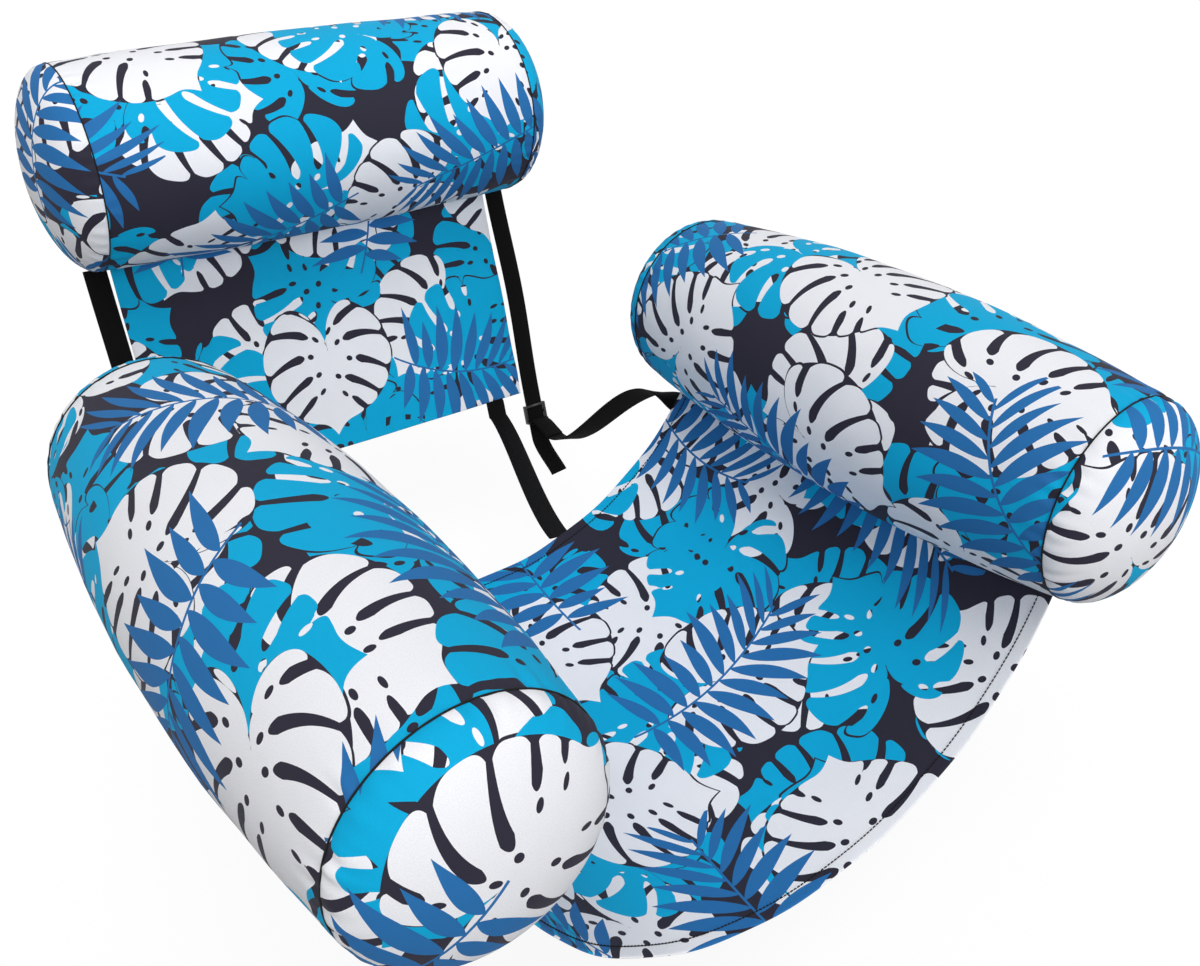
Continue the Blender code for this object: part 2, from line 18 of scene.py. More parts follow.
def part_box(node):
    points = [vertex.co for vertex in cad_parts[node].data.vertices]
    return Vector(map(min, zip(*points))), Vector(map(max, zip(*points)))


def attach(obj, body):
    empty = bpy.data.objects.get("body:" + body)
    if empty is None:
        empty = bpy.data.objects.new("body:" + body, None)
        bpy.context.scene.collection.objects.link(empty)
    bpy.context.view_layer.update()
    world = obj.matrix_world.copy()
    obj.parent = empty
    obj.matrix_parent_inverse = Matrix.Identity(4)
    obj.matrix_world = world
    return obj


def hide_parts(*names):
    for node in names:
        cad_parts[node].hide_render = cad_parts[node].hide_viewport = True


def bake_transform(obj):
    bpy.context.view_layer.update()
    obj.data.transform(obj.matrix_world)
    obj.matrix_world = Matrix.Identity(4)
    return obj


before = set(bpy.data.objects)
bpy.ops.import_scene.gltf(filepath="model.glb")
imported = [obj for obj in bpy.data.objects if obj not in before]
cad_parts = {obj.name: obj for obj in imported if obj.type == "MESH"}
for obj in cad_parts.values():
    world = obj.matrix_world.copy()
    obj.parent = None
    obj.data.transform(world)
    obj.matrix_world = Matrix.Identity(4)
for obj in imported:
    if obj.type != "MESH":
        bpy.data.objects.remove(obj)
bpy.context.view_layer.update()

# %% [markdown]
# The camera stands where the photograph was taken from: in front of the seat, to its left
# and well above it. Its place and its two angles come from matching the float ends and the
# sling's edges with the photograph. A camera in Blender looks down its own -Z axis, so it is
# first tipped up from the floor and then turned to its heading.

# %% Camera
CAMERA_PLACE = (-0.649, -0.8597, 0.6297)
CAMERA_HEADING = math.radians(35.78)
CAMERA_FALL = math.radians(30.54)
PHOTO_WIDTH = 1200
FOCAL_LENGTH_IN_PIXELS = 1216
SENSOR_WIDTH = 36.0

camera_data = bpy.data.cameras.new("camera")
camera_data.sensor_width = SENSOR_WIDTH
camera_data.lens = FOCAL_LENGTH_IN_PIXELS / PHOTO_WIDTH * SENSOR_WIDTH
camera = bpy.data.objects.new("camera", camera_data)
camera.location = CAMERA_PLACE
camera.rotation_euler = (math.pi / 2.0 - CAMERA_FALL, 0.0, -CAMERA_HEADING)
bpy.context.scene.collection.objects.link(camera)
bpy.context.scene.camera = camera
print("lens in mm:", round(camera_data.lens, 2))

# %% [markdown]
# The sizes below are the hammock's own, in metres. They are the same driving sizes that the
# solids were built from.

# %% Sizes of the hammock
SIDE_LENGTH = 0.642
SIDE_END_RADIUS = 0.112
SIDE_MIDDLE_RADIUS = 0.135
SEAM_ANGLE = math.radians(20.0)
HEAD_LENGTH = 0.604
HEAD_END_RADIUS = 0.128
HEAD_MIDDLE_RADIUS = 0.133
DOME_DEPTH = 0.055
SLING_END_SETBACK = 0.020
SLING_SAG_FRONT = 0.236
SLING_SAG_REAR = 0.187
PANEL_LENGTH = 0.322
PANEL_LEAN = math.radians(16.8)
WEBBING_WIDTH = 0.030
WEBBING = 0.0014
FABRIC = 0.0007
GAP = 0.0003


def middle_of(node):
    """Centre of a solid's box."""
    low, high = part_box(node)
    return (low + high) / 2.0


FORWARD = Vector((0.0, 1.0, 0.0))
RIGHT = Vector((1.0, 0.0, 0.0))
DOWN = Vector((0.0, 0.0, -1.0))
SIDES = {"left": -1.0, "right": 1.0}
side_spacing = 2.0 * middle_of("right_float_sleeve").x
head_centre = middle_of("head_float_sleeve")
print("side floats", round(side_spacing, 3), "m apart")
print("head float at", tuple(round(part, 3) for part in head_centre))

# %% [markdown]
# Colours are written as sRGB hex values, as a designer reads them off a swatch. Blender's
# shaders reckon in linear light, so one function turns them over. Another small function adds
# any node to a material: it takes the node's kind, what feeds its sockets in order, and its
# settings, and gives back the socket that comes out.

# %% Colour and node helpers


def linear(hex_colour):
    """An sRGB hex colour as linear red, green, blue and alpha."""
    parts = [int(hex_colour[start:start + 2], 16) / 255.0 for start in (1, 3, 5)]
    light = [part / 12.92 if part <= 0.04045 else ((part + 0.055) / 1.055) ** 2.4 for part in parts]
    return (*light, 1.0)


def add(tree, kind, *feeds, out=0, **settings):
    """Adds one node. A feed is a socket to link, a value to set, or None to leave alone."""
    node = tree.nodes.new(kind)
    for setting, value in settings.items():
        setattr(node, setting, value)
    open_sockets = [socket for socket in node.inputs if socket.enabled]
    for socket, feed in zip(open_sockets, feeds):
        if isinstance(feed, bpy.types.NodeSocket):
            tree.links.new(feed, socket)
        elif feed is not None:
            socket.default_value = feed
    return [socket for socket in node.outputs if socket.enabled][out]


def work_out(tree, known, steps):
    """Works out a sum in nodes. Each step is a result's name, an operation and its feeds."""
    for result, operation, *feeds in steps:
        sockets = [known.get(feed, feed) if isinstance(feed, str) else feed for feed in feeds]
        known[result] = add(tree, "ShaderNodeMath", *sockets, operation=operation)
    return known


def new_group(name, inputs, outputs):
    """A node group with its sockets; returns the group, its input node and its output node."""
    group = bpy.data.node_groups.new(name, "ShaderNodeTree")
    for in_out, sockets in (("INPUT", inputs), ("OUTPUT", outputs)):
        for socket_name, kind in sockets.items():
            group.interface.new_socket(socket_name, in_out=in_out, socket_type=f"NodeSocket{kind}")
    return group, group.nodes.new("NodeGroupInput"), group.nodes.new("NodeGroupOutput")


def new_material(name, finish):
    """A material whose shader has this finish; returns material, tree and shader."""
    material = bpy.data.materials.new(name)
    material.use_nodes = True
    tree = material.node_tree
    shader = tree.nodes["Principled BSDF"]
    for socket_name, value in finish.items():
        shader.inputs[socket_name].default_value = value
    return material, tree, shader


print("black is", linear("#000000"), "and white is", linear("#FFFFFF"))

# %% [markdown]
# The cloth carries a tropical print in four inks: two blues and a white over a dark ground.
# A real one is screen or transfer printed from artwork that repeats. Here each leaf is a
# formula instead, so that the outline stays crisp at any distance. Veins fan out from a
# leaf's midrib to both sides. Following them gives a second coordinate, which numbers them:
# it tells where a vein is rooted on the midrib and how far off the nearest one a place lies,
# and it gives every vein a random value of its own.

# %% Veins
LEAF_INPUTS = {"Place": "Vector", "Seed": "Float"}
LEAF_RESULTS = {"Shape": "Float", "Whole": "Float", "Rim": "Float", "Cuts": "Float"}
VEIN_SLANT = 0.80
SIDE_STAGGER = 0.22
LUCK_BY_SEED = 7.0


def new_leaf(name):
    """A leaf's group and its output node, and the results that every leaf starts from."""
    group, group_in, group_out = new_group(name, LEAF_INPUTS, LEAF_RESULTS)
    place = add(group, "ShaderNodeSeparateXYZ", group_in.outputs["Place"])
    known = {"x": place, "y": place.node.outputs["Y"], "seed": group_in.outputs["Seed"]}
    work_out(group, known, [("off_seed", "SUBTRACT", "seed", 0.5)])
    return group, group_out, known


def follow_veins(tree, known, spacing, rise, curl, fan, stagger_by_seed):
    """Numbers the veins of a leaf whose midrib lies where `bent` is 0."""
    work_out(tree, known, [
        ("out", "ABSOLUTE", "bent"),
        ("side", "SIGN", "bent"),
        ("out_squared", "MULTIPLY", "out", "out"),
        ("risen", "MULTIPLY_ADD", "out", rise, "y"),
        ("curled", "MULTIPLY_ADD", "out_squared", curl, "risen"),
        ("spread", "MULTIPLY_ADD", "out", fan, 1.0),
        ("along_midrib", "DIVIDE", "curled", "spread"),
        ("side_shift", "MULTIPLY", "side", SIDE_STAGGER),
        ("shift", "MULTIPLY_ADD", "seed", stagger_by_seed, "side_shift"),
        ("vein_count", "MULTIPLY_ADD", "along_midrib", 1.0 / spacing, "shift"),
        ("vein_number", "ROUND", "vein_count"),
        ("past_vein", "SUBTRACT", "vein_count", "vein_number"),
        ("off_vein", "ABSOLUTE", "past_vein"),
        ("number_unshifted", "SUBTRACT", "vein_number", "shift"),
        ("vein_root", "MULTIPLY", "number_unshifted", spacing),
        ("across_turn", "MULTIPLY", "off_vein", "spread"),
        ("across", "MULTIPLY", "across_turn", VEIN_SLANT * spacing),
        ("vein_seed", "MULTIPLY", "seed", LUCK_BY_SEED),
    ])
    vein_key = add(tree, "ShaderNodeCombineXYZ", known["vein_number"], known["side"], known["vein_seed"])
    known["luck"] = add(tree, "ShaderNodeTexWhiteNoise", vein_key, noise_dimensions="3D")


print("a leaf gives", ", ".join(LEAF_RESULTS))

# %% [markdown]
# The big split leaf is a heart that comes to a tip. Its slits, and the small holes beside the
# midrib, lie along the veins. Lengths are in half cells, and turns go round the leaf's
# middle, starting at its tip.

# %% Split leaf
STEM_BELOW_CELL_CENTRE = 0.10
LEAN = 0.22
STRAIGHT_FOOT = 0.2
HEART = 0.88
HEART_STRETCH = 0.02
HEART_FLATTENING = 0.05
TIP_TURN = 0.28
TIP_LENGTH = 0.16
TIP_SHARPNESS = 2.5
STEM_NOTCH_FROM = 2.55
STEM_NOTCH_TURN = 0.60
STEM_NOTCH_DEPTH = 0.68
VEIN_SPACING = 0.175
VEIN_FAN = 2.1
VEIN_RISE = 0.33
VEIN_CURL = -0.62
STAGGER_BY_SEED = 5.0
LAST_SLIT_ROOT = 0.50
FIRST_HOLE_ROOT = -0.34
LOBE_NOTCH = 0.13
LOBE_SHARPNESS = 4.0
RIM = 0.022
SLIT_START = 0.15
SLIT_START_LUCK = 0.22
SLIT_END = 0.92
SLIT_HALF_WIDTH = 0.05
SLIT_TAPER = 0.72
SLIT_ROUND_START = 1.0 / 8.0
HOLE_BEFORE_SLIT = 0.085
HOLE_HALF_LENGTH = 0.040
HOLE_HALF_WIDTH = 0.028

leaf, leaf_out, known = new_leaf("split_leaf")
work_out(leaf, known, [
    ("y", "ADD", "y", STEM_BELOW_CELL_CENTRE),
    ("lean", "MULTIPLY", "off_seed", LEAN),
    ("y_bow", "MULTIPLY_ADD", "y", "y", -STRAIGHT_FOOT),
    ("bent", "MULTIPLY_ADD", "lean", "y_bow", "x"),
])
follow_veins(leaf, known, VEIN_SPACING, VEIN_RISE, VEIN_CURL, VEIN_FAN, STAGGER_BY_SEED)
work_out(leaf, known, [
    ("reach_squared", "MULTIPLY_ADD", "y", "y", "out_squared"),
    ("reach", "SQRT", "reach_squared"),
    ("turn", "ARCTAN2", "out", "y"),
    ("cosine", "COSINE", "turn"),
    ("cosine_squared", "MULTIPLY", "cosine", "cosine"),
    ("heart", "MULTIPLY_ADD", "cosine", HEART_STRETCH, HEART),
    ("fuller_heart", "MULTIPLY_ADD", "cosine_squared", -HEART_FLATTENING, "heart"),
    ("near_tip", "MULTIPLY_ADD", "turn", -1.0 / TIP_TURN, 1.0),
    ("tip", "MAXIMUM", "near_tip", 0.0),
    ("tip_point", "POWER", "tip", TIP_SHARPNESS),
    ("tipped", "MULTIPLY_ADD", "tip_point", TIP_LENGTH, "fuller_heart"),
    ("past_lobes", "MULTIPLY_ADD", "turn", 1.0 / STEM_NOTCH_TURN, -STEM_NOTCH_FROM / STEM_NOTCH_TURN),
    ("at_stem", "MAXIMUM", "past_lobes", 0.0),
    ("stem_squared", "MULTIPLY", "at_stem", "at_stem"),
    ("outline", "MULTIPLY_ADD", "stem_squared", -STEM_NOTCH_DEPTH, "tipped"),
    ("below_tip", "LESS_THAN", "vein_root", LAST_SLIT_ROOT),
    ("near_slit", "MULTIPLY_ADD", "off_vein", -2.0, 1.0),
    ("notch", "POWER", "near_slit", LOBE_SHARPNESS),
    ("notch_here", "MULTIPLY", "notch", "below_tip"),
    ("lobed_outline", "MULTIPLY_ADD", "notch_here", -LOBE_NOTCH, "outline"),
    ("shape", "LESS_THAN", "reach", "lobed_outline"),
    ("whole", "LESS_THAN", "reach", "outline"),
    ("rim_outline", "ADD", "lobed_outline", RIM),
    ("rim", "LESS_THAN", "reach", "rim_outline"),
    ("slit_start", "MULTIPLY_ADD", "luck", SLIT_START_LUCK, SLIT_START),
    ("from_start", "SUBTRACT", "out", "slit_start"),
    ("slit_length", "SUBTRACT", SLIT_END, "slit_start"),
    ("along_slit", "DIVIDE", "from_start", "slit_length"),
    ("rounding", "MULTIPLY", "along_slit", 1.0 / SLIT_ROUND_START),
    ("rounding_low", "MAXIMUM", "rounding", 0.0),
    ("rounding_held", "MINIMUM", "rounding_low", 1.0),
    ("round_end", "SQRT", "rounding_held"),
    ("taper", "MULTIPLY_ADD", "along_slit", -SLIT_TAPER * SLIT_HALF_WIDTH, SLIT_HALF_WIDTH),
    ("slit_width", "MULTIPLY", "round_end", "taper"),
    ("in_slit", "LESS_THAN", "across", "slit_width"),
    ("slit", "MULTIPLY", "in_slit", "below_tip"),
    ("from_hole", "ADD", "from_start", HOLE_BEFORE_SLIT),
    ("hole_along", "MULTIPLY", "from_hole", 1.0 / HOLE_HALF_LENGTH),
    ("hole_across", "MULTIPLY", "across", 1.0 / HOLE_HALF_WIDTH),
    ("hole_along_squared", "MULTIPLY", "hole_along", "hole_along"),
    ("hole_reach", "MULTIPLY_ADD", "hole_across", "hole_across", "hole_along_squared"),
    ("in_hole", "LESS_THAN", "hole_reach", 1.0),
    ("above_stem", "GREATER_THAN", "vein_root", FIRST_HOLE_ROOT),
    ("hole_above", "MULTIPLY", "in_hole", "above_stem"),
    ("hole", "MULTIPLY", "hole_above", "below_tip"),
    ("cuts", "MAXIMUM", "slit", "hole"),
])
for result in LEAF_RESULTS:
    leaf.links.new(known[result.lower()], leaf_out.inputs[result])
print("split leaf:", len(leaf.nodes), "nodes")

# %% [markdown]
# A palm frond is simpler: a thin rib with slim leaflets on both sides. Its leaflets grow where
# a split leaf has its veins, and each gets its length from where it stands on the rib,
# longest a little below the middle. A frond has no slits of its own, so it gives no cuts.

# %% Palm frond
FROND_BOW = 0.5
LEAFLET_SPACING = 0.165
LEAFLET_FAN = 0.75
LEAFLET_RISE = -0.55
LEAFLET_CURL = 0.25
FROND_HALF_LENGTH = 1.12
FULLEST_BELOW_MIDDLE = 0.18
LEAFLET_LENGTH = 0.74
LEAFLET_LENGTH_LUCK = 0.3
SHORTEST_LEAFLET = 0.001
LEAFLET_FULLEST_EARLY = 0.75
LEAFLET_HALF_WIDTH = 0.058
# The shares of it that every leaflet has, and that come with a leaflet's length
LEAFLET_WIDTH_SHARES = (0.5, 0.8)
LAST_LEAFLET_ROOT = 0.93
RIB_HALF_WIDTH = 0.012
RIB_TOP = 0.90
RIB_FOOT = -1.08

always_wide, wide_by_length = (share * LEAFLET_HALF_WIDTH for share in LEAFLET_WIDTH_SHARES)
frond, frond_out, known = new_leaf("palm_frond")
work_out(frond, known, [
    ("bow", "MULTIPLY", "off_seed", FROND_BOW),
    ("y_squared", "MULTIPLY", "y", "y"),
    ("bent", "MULTIPLY_ADD", "bow", "y_squared", "x"),
])
follow_veins(frond, known, LEAFLET_SPACING, LEAFLET_RISE, LEAFLET_CURL, LEAFLET_FAN, stagger_by_seed=0.0)
work_out(frond, known, [
    ("off_fullest", "MULTIPLY_ADD", "vein_root", 1.0 / FROND_HALF_LENGTH,
     FULLEST_BELOW_MIDDLE / FROND_HALF_LENGTH),
    ("off_fullest_squared", "MULTIPLY", "off_fullest", "off_fullest"),
    ("bulge_squared", "SUBTRACT", 1.0, "off_fullest_squared"),
    ("bulge_held", "MAXIMUM", "bulge_squared", 0.0),
    ("bulge", "SQRT", "bulge_held"),
    ("length_luck", "MULTIPLY_ADD", "luck", LEAFLET_LENGTH_LUCK, 1.0 - LEAFLET_LENGTH_LUCK / 2.0),
    ("bulge_luck", "MULTIPLY", "bulge", "length_luck"),
    ("length_raw", "MULTIPLY", "bulge_luck", LEAFLET_LENGTH),
    ("length", "MAXIMUM", "length_raw", SHORTEST_LEAFLET),
    ("share_raw", "DIVIDE", "out", "length"),
    ("share", "MINIMUM", "share_raw", 1.0),
    ("share_early", "POWER", "share", LEAFLET_FULLEST_EARLY),
    ("half_turn", "MULTIPLY", "share_early", math.pi),
    ("slim", "SINE", "half_turn"),
    ("size", "MULTIPLY_ADD", "length", wide_by_length, always_wide),
    ("half_width", "MULTIPLY", "slim", "size"),
    ("in_leaflet", "LESS_THAN", "across", "half_width"),
    ("root_distance", "ABSOLUTE", "vein_root"),
    ("on_rib_length", "LESS_THAN", "root_distance", LAST_LEAFLET_ROOT),
    ("leaflet", "MULTIPLY", "in_leaflet", "on_rib_length"),
    ("in_rib", "LESS_THAN", "out", RIB_HALF_WIDTH),
    ("rib_below_top", "LESS_THAN", "y", RIB_TOP),
    ("rib_above_foot", "GREATER_THAN", "y", RIB_FOOT),
    ("rib_to_top", "MULTIPLY", "in_rib", "rib_below_top"),
    ("rib", "MULTIPLY", "rib_to_top", "rib_above_foot"),
    ("shape", "MAXIMUM", "leaflet", "rib"),
])
for result in ("Shape", "Whole", "Rim"):
    frond.links.new(known["shape"], frond_out.inputs[result])
print("palm frond:", len(frond.nodes), "nodes")

# %% [markdown]
# Leaves have to land all over the cloth. One way is to place each by hand, but then the
# material grows with every leaf. Instead a layer is cut into cells like bricks in a wall,
# and white noise gives each cell its own shift, turn and seed, so one leaf formula fills the
# whole layer. Every layer is turned by another angle, which hides the bricks.

# %% Scattering of one layer
SHIFT_IN_CELL = 0.06

scatter, scatter_in, scatter_out = new_group(
    "leaf_scatter", {"Cells": "Vector", "Layer": "Float"},
    {"Place": "Vector", "Seed": "Float", "Chance": "Float"})
cells = add(scatter, "ShaderNodeSeparateXYZ", scatter_in.outputs["Cells"])
known = {"x": cells, "y": cells.node.outputs["Y"], "layer": scatter_in.outputs["Layer"]}
work_out(scatter, known, [
    ("row", "FLOOR", "y"),
    ("odd", "FLOORED_MODULO", "row", 2.0),
    ("x_in_wall", "MULTIPLY_ADD", "odd", 0.5, "x"),
    ("column", "FLOOR", "x_in_wall"),
    ("other_layer", "ADD", "layer", 0.5),
])
lucks = []
for layer_key in ("layer", "other_layer"):
    brick = add(scatter, "ShaderNodeCombineXYZ", known["column"], known["row"], known[layer_key])
    luck = add(scatter, "ShaderNodeTexWhiteNoise", brick, out=1, noise_dimensions="3D")
    lucks.append(add(scatter, "ShaderNodeSeparateXYZ", luck).node.outputs)
known.update({"luck_x": lucks[0]["X"], "luck_y": lucks[0]["Y"], "luck_turn": lucks[0]["Z"]})
work_out(scatter, known, [
    ("x_from_corner", "SUBTRACT", "x_in_wall", "column"),
    ("y_from_corner", "SUBTRACT", "y", "row"),
    ("x_shift", "MULTIPLY_ADD", "luck_x", -SHIFT_IN_CELL, SHIFT_IN_CELL / 2.0 - 0.5),
    ("y_shift", "MULTIPLY_ADD", "luck_y", -SHIFT_IN_CELL, SHIFT_IN_CELL / 2.0 - 0.5),
    ("x_local", "ADD", "x_from_corner", "x_shift"),
    ("y_local", "ADD", "y_from_corner", "y_shift"),
    ("angle", "MULTIPLY", "luck_turn", 2.0 * math.pi),
])
local = add(scatter, "ShaderNodeCombineXYZ", known["x_local"], known["y_local"], 0.0)
turned_local = add(scatter, "ShaderNodeVectorRotate", local, None, known["angle"], rotation_type="Z_AXIS")
scatter.links.new(turned_local, scatter_out.inputs["Place"])
scatter.links.new(lucks[1]["X"], scatter_out.inputs["Seed"])
scatter.links.new(lucks[1]["Y"], scatter_out.inputs["Chance"])
print("scattering:", len(scatter.nodes), "nodes")

# %% [markdown]
# The whole print is one group that takes a place on the flat cloth, in metres, and gives its
# ink. It starts with the dark ground and lays the leaves over it from the bottom up. On some
# layers the slits are inked dark, and on others they are left open, so that the leaf below
# shows through them. Inks are numbers until the end. That way a layer can tell which ink lies
# below it, and a leaf over another of its own ink gets a thin dark edge that keeps them apart.

# %% Print
GROUND, BRIGHT, DEEP, WHITE = range(4)
INKS = ["#2E2C3A", "#05AEE0", "#2A72B2", "#F6F7FC"]


class Layer(NamedTuple):
    """One layer of leaves, its cell in metres; `share` of the cells hold a leaf."""

    leaf: bpy.types.NodeTree
    ink: int
    turn: float
    cell: float
    shift: tuple
    size: float
    share: float
    dark_slits: bool


LAYERS = [
    Layer(leaf, BRIGHT, math.radians(20.0), 0.212, (0.13, 0.25), 1.0, 0.92, True),
    Layer(leaf, WHITE, math.radians(65.0), 0.218, (0.51, 0.12), 1.0, 0.80, True),
    Layer(leaf, BRIGHT, math.radians(-35.0), 0.230, (0.12, 0.64), 1.0, 0.80, False),
    Layer(leaf, WHITE, math.radians(-15.0), 0.224, (0.37, 0.49), 1.0, 0.50, True),
    Layer(frond, DEEP, math.radians(10.0), 0.296, (0.02, 0.14), 0.83, 0.76, False),
]

print_group, print_in, print_out = new_group("tropical_print", {"Cloth": "Vector"}, {"Ink": "Color"})
below = float(GROUND)
for number, layer in enumerate(LAYERS):
    wall = add(print_group, "ShaderNodeMapping", print_in.outputs["Cloth"], (*layer.shift, 0.0),
               (0.0, 0.0, layer.turn), (1.0 / layer.cell, 1.0 / layer.cell, 1.0))
    spot = add(print_group, "ShaderNodeGroup", wall, number + 1.0, node_tree=scatter).node.outputs
    in_leaf = add(print_group, "ShaderNodeVectorMath", spot["Place"], 2.0 / layer.size, operation="SCALE")
    drawn = add(print_group, "ShaderNodeGroup", in_leaf, spot["Seed"], node_tree=layer.leaf).node.outputs
    known = {result.lower(): drawn[result] for result in LEAF_RESULTS}
    known.update({"chance": spot["Chance"], "below": below})
    below = work_out(print_group, known, [
        ("grows", "LESS_THAN", "chance", layer.share),
        ("past_edge", "SUBTRACT", "rim", "shape"),
        ("over_own_ink", "COMPARE", "below", layer.ink, 0.5),
        ("edge", "MULTIPLY", "past_edge", "over_own_ink"),
        ("dark_if_grown", "MAXIMUM", "edge", "whole" if layer.dark_slits else 0.0),
        ("dark", "MULTIPLY", "dark_if_grown", "grows"),
        ("not_dark", "SUBTRACT", 1.0, "dark"),
        ("darkened", "MULTIPLY", "below", "not_dark"),
        ("uncut", "SUBTRACT", "shape", "cuts"),
        ("leaf_only", "MAXIMUM", "uncut", 0.0),
        ("inked", "MULTIPLY", "leaf_only", "grows"),
        ("step_to_ink", "SUBTRACT", layer.ink, "darkened"),
        ("stacked", "MULTIPLY_ADD", "step_to_ink", "inked", "darkened"),
    ])["stacked"]
ink = linear(INKS[GROUND])
for ink_number, hex_ink in enumerate(INKS):
    here = add(print_group, "ShaderNodeMath", below, ink_number, 0.5, operation="COMPARE")
    ink = add(print_group, "ShaderNodeMix", here, ink, linear(hex_ink), data_type="RGBA")
print_group.links.new(ink, print_out.inputs["Ink"])
print("print:", len(LAYERS), "layers of leaves")

# %% [markdown]
# The cloth is a plain-woven polyester, dyed through by the print, so it is matt with a faint
# sheen at grazing angles. Its threads are about 0.3 mm apart, too fine for the picture, so
# the weave is drawn at 1.2 mm to show at all, and kept very shallow. Every cloth mesh carries
# a UV map called cloth, in metres on the flat cut piece, so the print has its true size.

# %% Printed polyester
THREAD_SPACING = 0.0012
CLOTH_MAP = "cloth"
FLECKS_PER_METRE = 900.0
FLECK_NOISE = (0.2, 0.8)
FLECK_SHADES = (0.93, 1.05)
SLACK_PER_METRE = 38.0
# How strong a bump is, and how deep in metres
WEAVE_BUMP = (0.25, 0.0002)
SLACK_BUMP = (0.35, 0.0012)

printed_cloth, tree, shader = new_material("printed_woven_polyester", {
    "Roughness": 0.72, "IOR": 1.53, "Specular IOR Level": 0.12, "Sheen Weight": 0.02, "Sheen Roughness": 0.5})
cloth_place = add(tree, "ShaderNodeUVMap", uv_map=CLOTH_MAP)
printed = add(tree, "ShaderNodeGroup", cloth_place, node_tree=print_group)
flecks = add(tree, "ShaderNodeTexNoise", cloth_place, FLECKS_PER_METRE, 2.0, noise_dimensions="2D")
fleck_shade = add(tree, "ShaderNodeMapRange", flecks, *FLECK_NOISE, *FLECK_SHADES)
fleck_colour = add(tree, "ShaderNodeCombineColor", fleck_shade, fleck_shade, fleck_shade)
woven_ink = add(tree, "ShaderNodeMix", 1.0, printed, fleck_colour, data_type="RGBA", blend_type="MULTIPLY")
threads = add(tree, "ShaderNodeSeparateXYZ", cloth_place)
weave = work_out(tree, {"u": threads, "v": threads.node.outputs["Y"]}, [
    ("u_turn", "MULTIPLY", "u", 2.0 * math.pi / THREAD_SPACING),
    ("v_turn", "MULTIPLY", "v", 2.0 * math.pi / THREAD_SPACING),
    ("u_wave", "SINE", "u_turn"),
    ("v_wave", "SINE", "v_turn"),
    ("over_under", "MULTIPLY", "u_wave", "v_wave"),
])["over_under"]
slack = add(tree, "ShaderNodeTexNoise", cloth_place, SLACK_PER_METRE, 3.0, noise_dimensions="2D")
woven_bump = add(tree, "ShaderNodeBump", *WEAVE_BUMP, None, weave)
slack_bump = add(tree, "ShaderNodeBump", *SLACK_BUMP, None, slack)
tree.links.new(woven_bump, slack_bump.node.inputs["Normal"])
tree.links.new(woven_ink, shader.inputs["Base Color"])
tree.links.new(slack_bump, shader.inputs["Normal"])
print("printed polyester: thread drawn at", THREAD_SPACING * 1000.0, "mm")

# %% [markdown]
# The straps are black polyester webbing. Its weft shows as fine ribs across the strap, about
# 1.4 mm apart, slightly slanted on both sides of the middle, with the warp as twice as wide
# rows along the strap. Black polyester isn't pure black. The crests of its ribs are painted a
# little lighter than their hollows, a painted highlight where a lamp would catch them. It
# scatters light inside its fibres instead of mirroring it, so its specular level is low.

# %% Webbing
RIB_SPACING = 0.0014
RIB_SLANT = 0.6
RIB_PAINTED_HIGHLIGHT = 0.25
RIB_BUMP = (0.6, 0.00015)
FUZZ_PER_METRE = 1500.0

webbing_cloth, tree, shader = new_material("black_polyester_webbing", {
    "Roughness": 0.85, "IOR": 1.53, "Specular IOR Level": 0.12, "Sheen Weight": 0.01, "Sheen Roughness": 0.4})
strap_place = add(tree, "ShaderNodeUVMap", uv_map=CLOTH_MAP)
strap_axes = add(tree, "ShaderNodeSeparateXYZ", strap_place)
ribs = work_out(tree, {"across": strap_axes, "along": strap_axes.node.outputs["Y"]}, [
    ("off_middle", "ABSOLUTE", "across"),
    ("slanted", "MULTIPLY_ADD", "off_middle", RIB_SLANT, "along"),
    ("turn", "MULTIPLY", "slanted", 2.0 * math.pi / RIB_SPACING),
    ("rib", "SINE", "turn"),
    ("warp_turn", "MULTIPLY", "across", 2.0 * math.pi / (2.0 * RIB_SPACING)),
    ("warp", "SINE", "warp_turn"),
    ("height", "MULTIPLY_ADD", "warp", 0.5, "rib"),
    # painted highlight: the higher a rib stands, the lighter its colour is painted
    ("lit", "MULTIPLY_ADD", "height", RIB_PAINTED_HIGHLIGHT, 0.5),
])
fuzz = add(tree, "ShaderNodeTexNoise", strap_place, FUZZ_PER_METRE, 2.0, noise_dimensions="2D")
# painted highlight on the rib crests, mixed into the strap's colour
strap_painted_highlight = add(tree, "ShaderNodeMix", ribs["lit"], linear("#040404"), linear("#0C0C0D"), data_type="RGBA")
strap_fuzz = add(tree, "ShaderNodeMix", fuzz, strap_painted_highlight, linear("#111112"), data_type="RGBA",
                 blend_type="SOFT_LIGHT")
strap_bump = add(tree, "ShaderNodeBump", *RIB_BUMP, None, ribs["height"])
tree.links.new(strap_fuzz, shader.inputs["Base Color"])
tree.links.new(strap_bump, shader.inputs["Normal"])
print("webbing: a rib every", RIB_SPACING * 1000.0, "mm")

# %% [markdown]
# Thread and plastics have one colour each, so one function makes them all: a fine noise sets
# the grain, which shows a little in the shade and a little in the surface. What tells them
# apart is the size of the grain and how they shine.

# %% Thread and plastics


def grained_material(name, dark, light, grain, bump, finish):
    """A one-colour material whose small grain shows in its shade and its surface."""
    material, tree, shader = new_material(name, finish)
    place = add(tree, "ShaderNodeTexCoord", out=3)
    noise = add(tree, "ShaderNodeTexNoise", place, 1.0 / grain, 3.0)
    shade = add(tree, "ShaderNodeMix", noise, linear(dark), linear(light), data_type="RGBA")
    surface = add(tree, "ShaderNodeBump", *bump, None, noise)
    tree.links.new(shade, shader.inputs["Base Color"])
    tree.links.new(surface, shader.inputs["Normal"])
    print("material:", name)
    return material


